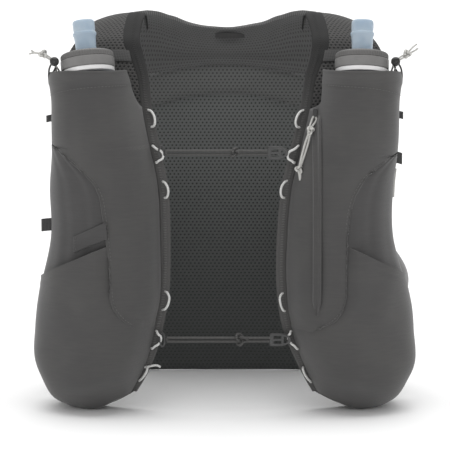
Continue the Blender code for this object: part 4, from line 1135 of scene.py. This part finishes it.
# Profiles from below to above: shares of the radius and of the height, and for the side of the
# cap how far it lies inside the radius and its share of the height
CAP_PROFILE = [(0.0, 0.54), (0.0003, 0.565), (0.0011, 0.58), (0.0011, 0.60), (0.0005, 0.62),
               (0.0004, 0.66), (0.0004, 0.74), (0.0004, 0.82), (0.0007, 0.88),
               (0.0016, 0.94), (0.0032, 0.985), (0.0050, 1.0)]
VALVE_PROFILE = [(0.0, 0.0), (0.90, 0.0), (0.90, 0.04), (0.91, 0.14), (0.93, 0.36), (0.96, 0.50),
                 (1.02, 0.55), (1.04, 0.59), (1.03, 0.62), (0.95, 0.65), (0.94, 0.68),
                 (0.97, 0.76), (0.97, 0.92), (0.95, 0.965), (0.88, 1.0), (0.60, 1.0),
                 (0.52, 0.985), (0.46, 0.90), (0.0, 0.88)]
LOCK_PROFILE = [(0.0, -1.0), (0.45, -0.92), (0.78, -0.65), (0.97, -0.25), (1.0, 0.1),
                (0.93, 0.45), (0.74, 0.70), (0.60, 0.76), (0.52, 0.68), (0.36, 0.66),
                (0.30, 0.80), (0.14, 0.86), (0.0, 0.87)]


def make_flask(side):
    """Soft flask: film body in the pocket, milky collar, ribbed screw cap and bite valve."""
    hand = SIDE_NAMES[side]
    place = flask_frame(side)
    r, h = CAP_RADIUS, CAP_HEIGHT

    def grip(angle, height):
        if not 0.64 * h < height < 0.90 * h:
            return 1.0
        return 1.0 - RIB_DEPTH * (0.5 + 0.5 * cos(CAP_RIBS * angle))

    skirt = [(r - inset, high * h) for inset, high in CAP_PROFILE]
    cap = spun("screw_cap_" + hand,
               [(0.0, 0.0), (r - 0.0008, 0.0), (r - 0.0002, 0.0003), (r, 0.0009), *skirt,
                (VALVE_RADIUS + 0.0030, h), (VALVE_RADIUS + 0.0022, h - 0.0006),
                (0.0, h - 0.0006)],
               place, CAP_PLASTIC, "flask_cap_" + hand, steps=6 * CAP_RIBS, ribs=grip)
    cap.data.materials.append(GRIP_PLASTIC)
    for face in cap.data.polygons:
        height = (face.center - place.translation).dot(place.col[2].to_3d())
        face.material_index = int(0.61 * h < height < 0.95 * h)
    low = -CLEARANCE - COLLAR_HEIGHT - 0.0018
    spun("neck_collar_" + hand,
         [(0.0, low), (r - 0.0016, low), (r - 0.0007, low + 0.0005), (r - 0.0007, -0.0006),
          (r - 0.0013, -0.0001), (0.0, -0.0001)], place, COLLAR_PLASTIC, "flask_collar_" + hand)
    top = h - 0.0004
    spun("bite_valve_rubber_" + hand,
         [(wide * VALVE_RADIUS, top + high * VALVE_HEIGHT) for wide, high in VALVE_PROFILE],
         place, VALVE_RUBBER, "bite_valve_" + hand)

    first, last = run_at(0.165 * DROP), run_at(0.50 * DROP)
    neck = place @ Matrix.Translation((0.0, 0.0, low - CLEARANCE))

    def film(a, b):
        angle = 2 * pi * a
        f = clamp((b - FILM_NECK) / 0.86)
        run = first + (last - first) * f
        reach = 0.37 - 0.20 * f
        turn = angle if side == RIGHT else pi - angle
        share = 0.5 + (FLASK_FILL - 0.02) * sin(angle) * (1.0 - 0.45 * f ** 3)
        low_point = pocket_floor(side, 0.5 - 0.14 * f + reach * cos(turn), run)
        high_point = pocket_point(side, 0.5 - 0.14 * f + reach * cos(turn), run, -0.0020)
        body = low_point.lerp(high_point, share)
        round_neck = neck @ Vector((side * NECK_RADIUS * cos(turn) * side,
                                    -NECK_RADIUS * sin(angle), -0.001 - 0.02 * b))
        spot = round_neck.lerp(body, eased(b / FILM_NECK))
        if b > 0.97:
            spot = spot.lerp(pocket_floor(side, 0.36, last), 0.8 * (b - 0.97) / 0.03)
        return spot

    bm, _ = laid_grid(32, 40, film, flip=side == LEFT)
    bmesh.ops.remove_doubles(bm, verts=bm.verts, dist=2e-5)
    bmesh.ops.holes_fill(bm, edges=bm.edges, sides=0)
    bmesh.ops.recalc_face_normals(bm, faces=bm.faces)
    settle("flask_film_" + hand, bm, FLASK_FILM, "flask_body_" + hand, smooth=60.0)


def make_back():
    """Yoke behind the neck, upper back, main back panel, hang loop and rear pouch."""
    strap_top = RIDGE_ROW - 0.15

    def yoke(a, b):
        share = 2 * a - 1
        run = strap_top * (1 - b)
        edge = harness_point(RIGHT if share > 0 else LEFT, 0.025, run, 0.0)
        x = share * abs(edge.x)
        low = Vector((x, back_y(x), crease_z(x) + YOKE_EDGE))
        middle = Vector((x, NECK_BACK, -NECK_DROP)).lerp(low, b)
        middle.y += 0.003 * sin(pi * b)
        hold = abs(share) ** (1.6 + 0.9 * b)
        tip = 0.0030 * max(0.0, (abs(share) - 0.90) / 0.10) * (1 - b)
        tuck = YOKE_TUCK * max(0.0, (abs(share) - 0.80) / 0.20) ** 1.3 * (1 - 0.5 * b ** 4)
        forward = 1.10 + 0.55 * ridge(b, 0.16, 0.25)
        peak = YOKE_PEAK * ridge(abs(share), 0.86, 0.50) * (1 - b) ** 2
        return Vector((x + copysign(tuck, share),
                       middle.y + (edge.y - middle.y) * hold - forward * tuck,
                       middle.z + (edge.z + CLEARANCE - middle.z) * hold - tip - 0.30 * tuck
                       + peak))

    def yoke_relief(a, b):
        share = 2 * a - 1
        x = share * 0.08
        rim = 0.0012 * ridge(b, 0.03, 0.07)
        dent = -0.0035 * ridge(x, 0.006, 0.024) * ridge(b, 0.30, 0.17)
        tucks = 0.0011 * sin(6.5 * b + 2.2 * abs(share)) * abs(share) * (1 - 0.4 * b)
        hang = 0.0045 * ridge(b, 0.86, 0.22) * (1 - abs(share) ** 5)
        pleat = -0.0012 * ridge(abs(share), 0.62, 0.10) * ridge(b, 0.35, 0.5)
        return rim + dent + tucks + hang + pleat + ripple((x, b * 0.04, 0.0), 0.018, 0.0007)

    cloth("yoke_pad", 84, 34, yoke, PAD_THICK, YOKE_MESH, "neck_yoke", relief=yoke_relief,
          flip=True, fill=0.5)

    def upper(a, b):
        x = (2 * a - 1) * BACK_HALF
        top = crease_z(x) + YOKE_EDGE + UPPER_LAP
        z = top + (arc_z(x) - top) * b
        return Vector((x, back_y(x) + 0.0015 * min(max(0.0, 1.9 - 8 * b), 1.0)
                       - 0.002 * sin(pi * b), z))

    def upper_relief(a, b):
        x = (2 * a - 1) * BACK_HALF
        seams = -0.0032 * ridge(b, 1.0, 0.16) - 0.0040 * ridge(max(b, 0.17), 0.17, 0.15)
        return seams + ripple((x, b * 0.03, 3.0), 0.02, 0.0008)

    cloth("upper_back_pad", 96, 18, upper, UPPER_THICK, BAND_MESH, "upper_back",
          relief=upper_relief, flip=True, fill=0.5)

    def panel(a, b):
        share = 2 * a - 1
        top = arc_z(share * BACK_HALF) + BACK_LAP
        z = top + (-BACK_BOTTOM_DROP - HEM_SAG - top) * b
        x = share * back_half(z)
        return Vector((x, back_y(x), z))

    def panel_relief(a, b):
        share = 2 * a - 1
        pad = 0.0016 * ridge(b, 0.10, 0.10) - 0.0040 * ridge(b, 0.0, 0.045)
        hem = 0.0010 * ridge(b, 0.975, 0.02)
        return pad + hem + ripple((share * 0.11, b * 0.28, 7.0), 0.045, 0.0016)

    cloth("back_pad", 96, 110, panel, PAD_THICK, BACK_MESH, "back_panel",
          relief=panel_relief, flip=True, fill=0.4)

    def pouch(a, b):
        share = 2 * a - 1
        z = -POUCH_TOP_DROP - (POUCH_BOTTOM_DROP - POUCH_TOP_DROP) * b
        x = share * POUCH_HALF
        swell = (1 - abs(share) ** 4) * (1 - b ** 5) ** 0.8 * (0.62 + 0.38 * sin(pi * b))
        return Vector((x, back_y(x) + PAD_WALL + CLEARANCE + POCKET_WALL + POUCH_BULGE * swell, z))

    def pouch_relief(a, b):
        share = 2 * a - 1
        hem = 0.0006 * (b < 0.06) + 0.0008 * ridge(b, 0.0, 0.02)
        gathers = 0.0011 * sin(60 * share) * max(0.0, 1 - 7 * b)
        sags = 0.0018 * sin(3.1 * share + 5 * b) * ridge(b, 0.72, 0.4)
        return hem + gathers + sags + ripple((share * 0.09, b * 0.23, 11.0), 0.03, 0.0012)

    cloth("rear_pouch_cloth", 64, 80, pouch, CLOTH_THICK, POUCH_CLOTH, "rear_pouch",
          relief=pouch_relief, held="stretched")

    def loop(a, b):
        x = HANG_LOOP_X + (a - 0.5) * HANG_LOOP_LENGTH
        z = -NECK_DROP - HANG_LOOP_DROP - HANG_LOOP_WIDTH * b
        f = (-z - NECK_DROP) / (CREASE_DROP - NECK_DROP)
        face = NECK_BACK + (back_y(x) - NECK_BACK) * f
        return Vector((x, face + 0.0006 - HANG_LOOP_DIP * sin(pi * a), z))

    cloth("hang_loop_tape", 24, 5, loop, 0.0012, TAB_TAPE, "hang_loop", flip=True)


# How far a wing bows out: the left one lies closer to the vest
WING_REACH = {LEFT: 0.032, RIGHT: 0.041}


def make_wing(side):
    """Stretch panel from the front panel's outer edge round to the back panel's side."""
    hand = SIDE_NAMES[side]

    def wing(a, b):
        z = -WING_TOP_DROP - (WING_BOTTOM_DROP - WING_TOP_DROP) * b
        front = harness_edges(side, run_at(-z))[1]
        back_x = back_half(z)
        start = Vector((abs(front.x) - 0.0035, front.y + 0.0010))
        end = Vector((back_x + WING_SEAM - 0.0015, back_y(back_x) + 0.5 * PAD_WALL))
        plan = start.lerp(end, a)
        plan.x += WING_REACH[side] * (sin(pi * b) ** 1.8) * sin(pi * a) ** 0.6
        return Vector((side * plan.x, plan.y, z - WING_SCOOP * (1 - b) * sin(pi * a)))

    def wing_relief(a, b):
        hem = 0.0006 * (ridge(b, 0.0, 0.03) + ridge(b, 1.0, 0.03))
        return hem + 0.0012 * sin(7 * b + 5 * a) * sin(pi * a)

    cloth("wing_cloth_" + hand, 40, 48, wing, CLOTH_THICK, WING_CLOTH, "side_wing_" + hand,
          relief=wing_relief, flip=side == RIGHT, held="stretched")


def make_keeper():
    """Band over the hem of the left lower pocket, at its seam, with its stitched ends."""
    low, high = KEEPER_DROPS

    def keeper(a, b, lift=0.0014):
        run = run_at(low + (high - low) * b + KEEPER_SLOPE * a)
        start = seam_across(LEFT, run) - 0.001 / chord_width(LEFT, run)
        end = across_at(LEFT, run, KEEPER_END)
        rise = lift + 0.0010 * sin(pi * b) + 0.0008 * (1 - a) ** 2
        return over_pocket(LEFT, start + (end - start) * a, run, rise)

    cloth("keeper_tape", 30, 14, keeper, CLOTH_THICK, PANEL_CLOTH, "pocket_keeper",
          relief=lambda a, b: 0.0003 * (ridge(b, 0.05, 0.05) + ridge(b, 0.95, 0.05)),
          held="stretched")
    row = [keeper(0.93, 0.08 + 0.84 * k / 6, 0.0016) for k in range(7)]
    stitches("keeper_stitches", row, lambda f: harness_normal(LEFT, 10.0), length=0.0018)


# A lace loop that a sternum strap pulls, from its tip to its end: shares of its height, reach
# and rise off the binding
PULLED = [(0.0, 1.0, 1.2), (0.42, 0.92, 1.8), (0.70, 0.48, 2.6), (1.0, 0.0, 1.4)]
PULLED_LOOPS = [strap.loop for strap in STERNUMS]

# Knots: the box that each fills, its turn and the radius of its cord
Knot = namedtuple("Knot", "size turn cord")
STERNUM_KNOTS = {"upper": Knot((0.0070, 0.0048, 0.0098), 0.9, 0.00125),
                 "lower": Knot((0.0125, 0.0052, 0.0110), 0.5, 0.00125)}
DRAWCORD_KNOTS = {LEFT: Knot((0.0072, 0.0056, 0.0072), -0.6, 0.00115),
                  RIGHT: Knot((0.0072, 0.0056, 0.0072), 0.6, 0.00115)}
PULL_KNOT = Knot((0.0062, 0.0050, 0.0076), 0.3, 0.00105)
PULL_END_KNOT = Knot((0.0066, 0.0046, 0.0070), -0.4, 0.00105)

# Free end of the left lace at its last loop: shares of the drop, then metres inward and off
LACE_END = [(0.892, -0.003, 0.0010), (0.889, 0.003, 0.0024), (0.886, 0.008, 0.0014),
            (0.890, 0.013, 0.0006)]


def make_lace(side):
    """White lace: six loops at the harness edge, hidden under its binding between them."""
    over = lace_over() - 0.0002
    points = []
    for index, loop in enumerate(LACE_LOOPS[side]):
        inset = pocket_inset(run_at(loop.tip * DROP))
        start = min(LACE_ROOT, 0.45 * LACE_REACH * loop.reach)
        root = start - inset
        pulled = index in PULLED_LOOPS
        depth = LACE_REACH * loop.reach - start + (PULLED_OVER if pulled else LOOP_OVER)
        away, sunk = (PULLED_AWAY, root - 0.004) if pulled else (LOOP_AWAY, root)
        points.append(edge_place(side, (loop.start - away) * DROP, sunk, -LACE_SINK))
        for step in range(-3, 4):
            angle = radians(30 * step)
            shift, flat, rise = abs(sin(angle)), cos(angle) ** 0.9, cos(angle)
            if pulled:
                shift, flat, rise = PULLED[abs(step)]
            end = loop.start if step < 0 else loop.end
            drop = loop.tip + (end - loop.tip) * shift
            lift = over * rise ** 0.5 - 0.0006 * (abs(step) == 3)
            points.append(edge_place(side, drop * DROP, root + depth * flat, lift))
        points.append(edge_place(side, (loop.end + away) * DROP, sunk, -LACE_SINK))
    rope("lace_cord_" + SIDE_NAMES[side], points, LACE_THICK, LACE, "lace_" + SIDE_NAMES[side],
         spacing=0.0010, free=("object", "taut"))
    if side == LEFT:
        end = [edge_place(side, drop * DROP, inward, lift) for drop, inward, lift in LACE_END]
        rope("lace_end_left", end, LACE_THICK, LACE)


def doubled(start, turn, spread):
    """Points of a cord that runs out from start, round a bend at turn and back."""
    start, turn = Vector(start), Vector(turn)
    along = (turn - start).normalized()
    up = Vector((0.0, 0.0, spread))
    bend = along * spread
    return [start + up, start.lerp(turn, 0.4) + up, turn - 2 * bend + up,
            turn - 0.3 * bend + 0.7 * up, turn, turn - 0.3 * bend - 0.7 * up,
            turn - 2 * bend - up, start.lerp(turn, 0.4) - up, start - up]


def make_sternum(row):
    """Sternum strap: ring on the left lace, doubled cord, knot, cord and fork hook."""
    left, right = lace_tip(LEFT, row.loop), lace_tip(RIGHT, row.loop)
    y, z = 0.5 * (left.y + right.y) - row.proud, 0.5 * (left.z + right.z) + row.rise
    ring_x, hook_end = left.x + row.ring_over, right.x - row.hook_over
    hook_start = hook_end - row.hook_length
    knot = Vector((ring_x + (hook_start - ring_x) * row.knot, y, z))
    rim = []
    for k in range(25):
        angle = 2 * pi * k / 24
        rim.append(Vector((ring_x + RING_HALF_WIDTH * cos(angle), y,
                           z + RING_HALF_HEIGHT * sin(angle))))
    rope("lace_ring_" + row.name, rim, RING_WIRE, HOOK_PLASTIC, "sternum_ring_" + row.name,
         spacing=0.0006)
    start = knot - Vector((KNOT_RADIUS * 0.6, 0.0, 0.0))
    past_ring = RING_HALF_WIDTH + RING_WIRE + CLEARANCE + STERNUM_RADIUS - 0.0008
    turn = Vector((ring_x + past_ring, y, z))
    cord_radius = STERNUM_RADIUS * STERNUM_TIGHT
    rope("sternum_left_cord_" + row.name, doubled(start, turn, STERNUM_SPREAD), cord_radius,
         DARK_CORD, "sternum_cord_" + row.name, free=("object", "taut"))
    start = knot + Vector((KNOT_RADIUS * 0.6, 0.0, 0.0))
    turn = Vector((hook_start + HOOK_BAR + STERNUM_RADIUS - 0.0008, y, z))
    rope("sternum_right_cord_" + row.name, doubled(start, turn, STERNUM_SPREAD * 0.92),
         cord_radius, DARK_CORD, "sternum_tail_" + row.name, free=("object", "taut"))
    tie("sternum_knot_cord_" + row.name, knot, STERNUM_KNOTS[row.name], DARK_CORD,
        "sternum_knot_" + row.name)

    length, half = hook_end - hook_start, 0.5 * HOOK_HEIGHT
    rim = rounded([(0, -half), (0.62 * length, -half), (length, -0.45 * half),
                   (length, 0.45 * half), (0.62 * length, half), (0, half)], 0.0017)
    slots = [rounded([(HOOK_BAR, low * half), (0.56 * length, low * half),
                      (0.56 * length, high * half), (HOOK_BAR, high * half)], 0.0006)
             for low, high in ((-0.70, -0.14), (0.14, 0.70))]
    eye = rounded([(0.66 * length, -0.62 * half), (0.80 * length, -0.56 * half),
                   (length - 0.0020, -0.25 * half), (length - 0.0020, 0.25 * half),
                   (0.80 * length, 0.56 * half), (0.66 * length, 0.62 * half)], 0.0009)
    upright = Matrix.Translation((hook_start, y, z)) @ Matrix.Rotation(pi / 2, 4, "X")
    plate("fork_hook_" + row.name, (rim, *slots, eye), HOOK_THICKNESS, upright, HOOK_PLASTIC,
          "sternum_hook_" + row.name)


def make_drawcord(side):
    """Mouth drawcord: two strands from the hem through the ball lock to a knot and two ends."""
    hand = SIDE_NAMES[side]
    beside = side * (CAP_RADIUS + LOCK_GAP + LOCK_RADIUS)
    lock = flask_frame(side).translation + Vector((beside, -LOCK_PROUD, LOCK_RISE))
    knot = lock + Vector((side * TAIL_KNOT_OUT, 0.0, TAIL_KNOT_RISE))
    r = LOCK_RADIUS
    face = Matrix.Translation(lock) @ Matrix.Rotation(pi / 2, 4, "X")
    spun("ball_lock_" + hand, [(wide * r, high * r) for wide, high in LOCK_PROFILE], face,
         LOCK_PLASTIC, "cord_lock_" + hand, steps=40)
    hem = pocket_point(side, 0.93, run_at((MOUTH_DROP + MOUTH_FALL) * DROP), 0.0)
    tail = Vector((side * 1.0, 0.0, TAIL_RISE[side])).normalized()
    across = Vector((-tail.z, 0.0, tail.x))
    for index, way in enumerate((-1, 1)):
        shift = across * way * 0.0011
        inside = hem + Vector((-side * (0.0080 + 0.0016 * way), 0.001, -0.0045))
        rise = hem + Vector((-side * (0.0068 + 0.0016 * way), -0.0030, 0.0030))
        tip = knot + tail * (TAIL_KNOT_RADIUS + TAIL_LENGTH * (1.0 if way > 0 else 0.86))
        bend = Vector((0.0, -0.0008 * way, 0.0010 * way))
        points = [inside, rise, lock.lerp(rise, 0.35) + shift * 0.6, lock + shift * 0.4,
                  lock.lerp(knot, 0.55) + shift, knot + shift * 0.5,
                  knot + tail * 0.6 * (TAIL_KNOT_RADIUS + TAIL_LENGTH) + shift + bend,
                  tip + shift * 1.7]
        nodes = ["drawcord_" + hand, "drawcord_tail_" + hand] if index == 0 else []
        rope("drawcord_strand_%s_%d" % (hand, index + 1), points, FUZZ * DRAWCORD_RADIUS,
             GREY_CORD, *nodes, around=8, free=("bare", "loose"))
    tie("drawcord_knot_cord_" + hand, knot, DRAWCORD_KNOTS[side], GREY_CORD,
        "drawcord_knot_" + hand)
    reach = (hem - lock).normalized()
    outer = Vector((side * 0.0022, 0.0, 0.0))
    rope("lock_loop_cord_" + hand,
         [lock + reach * 0.5 * r - outer * 0.6, lock.lerp(hem, 0.45) - outer,
          hem + Vector((-side * 0.0005, -0.0012, 0.0012)),
          hem + outer + Vector((0, -0.001, -0.002)), lock.lerp(hem, 0.55) + outer * 1.5,
          lock + reach * 0.5 * r + outer], 0.0009, DARK_CORD, "lock_loop_" + hand)


def make_zip():
    """Covered zip down the right chest pocket, its slider and its cord pull."""
    zip_x = HALF_WIDTH * ZIP_OUT

    def flap(a, b):
        run = run_at(ZIP_TOP_DROP - 0.002 + (ZIP_BOTTOM_DROP - ZIP_TOP_DROP + 0.004) * b)
        narrow = 1 - 0.75 * max(0.0, (b - 0.93) / 0.07)
        across = across_at(RIGHT, run, zip_x + (a - 0.5) * ZIP_WIDTH * narrow)
        valley = 0.0013 * ridge(a, 0.5, 0.40)
        ends = 0.0012 * (ridge(b, 0.0, 0.03) + ridge(b, 1.0, 0.06))
        sides = 0.0013 * (max(0.0, 1 - 7 * a) + max(0.0, 7 * a - 6))
        return over_pocket(RIGHT, across, run, 0.0017 - valley - sides - ends)

    cloth("zip_cover", 14, 120, flap, 0.0009, POCKET_CLOTH, "zip_flap", flip=True,
          held="stretched")

    def on_pocket(drop, out, height):
        run = run_at(drop)
        return over_pocket(RIGHT, across_at(RIGHT, run, out), run, height)

    slider_drop = ZIP_TOP_DROP - 0.5 * SLIDER_SIZE[2] - 3 * CLEARANCE
    slider = on_pocket(slider_drop, zip_x, 0.5 * SLIDER_SIZE[1] - 0.0004)
    half = 0.5 * SLIDER_SIZE[2]
    rim = rounded([(-0.0020, -half), (0.0020, -half), (0.0015, half), (-0.0015, half)], 0.0010)
    upright = Matrix.Translation(slider) @ Matrix.Rotation(pi / 2, 4, "X")
    plate("slider_body", (rim,), 0.0034, upright, LOCK_PLASTIC, "zip_slider")
    over_flap = STACK_GAP + POCKET_WALL
    knot = on_pocket(ZIP_TOP_DROP + 2.0 * SLIDER_SIZE[2], zip_x - 0.002,
                     PULL_KNOT_RADIUS + over_flap)
    end_drop = ZIP_TOP_DROP + ZIP_PULL_LENGTH + 0.006
    end = on_pocket(end_drop, zip_x + ZIP_PULL_SIDE, PULL_KNOT_RADIUS)
    down = (end - knot).normalized()
    wide = down.cross(Vector((0.0, -1.0, 0.0))).normalized()
    top = slider + Vector((-0.0006, -0.0012, -0.0040))
    rope("zip_pull_loop", [top + wide * 0.0008, top + Vector((-0.0026, -0.0012, -0.0028)),
                           knot + Vector((-0.0008, -0.0004, 0.0016)),
                           top + Vector((0.0014, -0.0014, -0.0038)), top - wide * 0.0010],
         0.0009, GREY_CORD)
    tie("zip_pull_upper_knot", knot, PULL_KNOT, GREY_CORD, "zip_pull_knot")
    for index, way in enumerate((-1, 1)):
        spread = wide * way * 0.0013
        points = [knot + down * 0.001 + spread * 0.4, knot.lerp(end, 0.3) + spread,
                  knot.lerp(end, 0.62) + spread * 0.9, end - down * 0.001 + spread * 0.3]
        nodes = ["zip_pull_cord"] if index == 0 else []
        rope("zip_pull_strand_%d" % (index + 1), points, FUZZ * ZIP_CORD_RADIUS, GREY_CORD,
             *nodes, free=("knot", "hanging"))
    tie("zip_pull_lower_knot", end, PULL_END_KNOT, GREY_CORD, "zip_pull_end")
    drop = Vector((0.15, 0.05, -1.0)).normalized()
    rope("zip_pull_ends", [end + down * 0.001, end + drop * 0.005, end + drop * 0.0105], 0.0016,
         GREY_CORD)


def make_tabs():
    """Folded tape tabs at the outer edges and the side cord on the right."""
    for tab in TABS:
        run = run_at(tab.drop * DROP)
        root = pocket_point(tab.side, 0.92, run)
        half = 0.5 * TAB_THICKNESS

        def fold(a, b, tab=tab, root=root, half=half):
            x = tab.width - half + tab.root
            if a < 0.4:
                spot = (x * a / 0.4, -half)
            elif a > 0.6:
                spot = (x * (1 - a) / 0.4, half)
            else:
                angle = pi * (a - 0.5) / 0.2
                spot = (x + half * cos(angle), half * sin(angle))
            droop = 0.0012 * (spot[0] / tab.width) ** 2
            return root + Vector((tab.side * (spot[0] - 0.0022), spot[1],
                                  tab.height * (0.5 - b) - droop))

        cloth(tab.name + "_tape", 30, 8, fold, 0.0006, TAB_TAPE, tab.name, flip=tab.side == LEFT)
    points = [pocket_point(RIGHT, 0.94, run_at(drop), DRAWCORD_RADIUS + CLEARANCE)
              for drop in SIDE_CORD_DROPS]
    rope("side_cord_strand", points, 0.0012, GREY_CORD, "side_cord")


for which in (LEFT, RIGHT):
    make_harness(which)
    make_pockets(which)
    make_flask(which)
    make_wing(which)
    make_lace(which)
    make_drawcord(which)
make_back()
make_keeper()
for strap in STERNUMS:
    make_sternum(strap)
make_zip()
make_tabs()


# Studio: pale floor, white surroundings and a broad light from above and a little behind,
# whose soft shadow falls forward between the pockets
SKY_POWER = 1.85
SKY_SPREAD = radians(56)
SKY_TURN = (radians(-10), 0.0, 0.0)
SURROUNDINGS = 0.74        # strength of the white world
FLOOR_HALF = 60.0
CAMERA_LENS = 160.0        # millimetres
CAMERA_TARGET = Vector((0.0, 0.0, -0.206))
CAMERA_DISTANCE = 2.0
CAMERA_RISE = radians(8.0)


def make_studio():
    """Floor, world light, one broad overhead light and the camera at the photo's angle."""
    made, _, shader = new_surface("matt white studio floor", 0.9)
    shader.inputs["Base Color"].default_value = srgb("#fcfcfc")
    bm = bmesh.new()
    bmesh.ops.create_grid(bm, x_segments=1, y_segments=1, size=FLOOR_HALF)
    bmesh.ops.translate(bm, vec=(0.0, 0.0, -FLOOR_DROP), verts=bm.verts)
    mesh = bpy.data.meshes.new("studio_floor")
    bm.to_mesh(mesh)
    bm.free()
    mesh.materials.append(made)
    floor = bpy.data.objects.new("studio_floor", mesh)
    bpy.context.scene.collection.objects.link(floor)

    world = bpy.data.worlds.new("white studio")
    world.use_nodes = True
    backdrop = world.node_tree.nodes["Background"]
    backdrop.inputs["Color"].default_value = (1.0, 1.0, 1.0, 1.0)
    backdrop.inputs["Strength"].default_value = SURROUNDINGS
    bpy.context.scene.world = world

    sky = bpy.data.lights.new("overhead diffuser", "SUN")
    sky.energy = SKY_POWER
    sky.angle = SKY_SPREAD
    holder = bpy.data.objects.new("overhead diffuser", sky)
    holder.rotation_euler = SKY_TURN
    bpy.context.scene.collection.objects.link(holder)

    eye = bpy.data.cameras.new("photo camera")
    eye.lens = CAMERA_LENS
    eye.sensor_width = 36.0
    eye.clip_end = 200.0
    holder = bpy.data.objects.new("photo camera", eye)
    holder.location = CAMERA_TARGET + Vector((0.0, -CAMERA_DISTANCE * cos(CAMERA_RISE),
                                              CAMERA_DISTANCE * sin(CAMERA_RISE)))
    holder.rotation_euler = (pi / 2 - CAMERA_RISE, 0.0, 0.0)
    bpy.context.scene.collection.objects.link(holder)
    bpy.context.scene.camera = holder
    bpy.context.scene.view_settings.view_transform = "Standard"


make_studio()
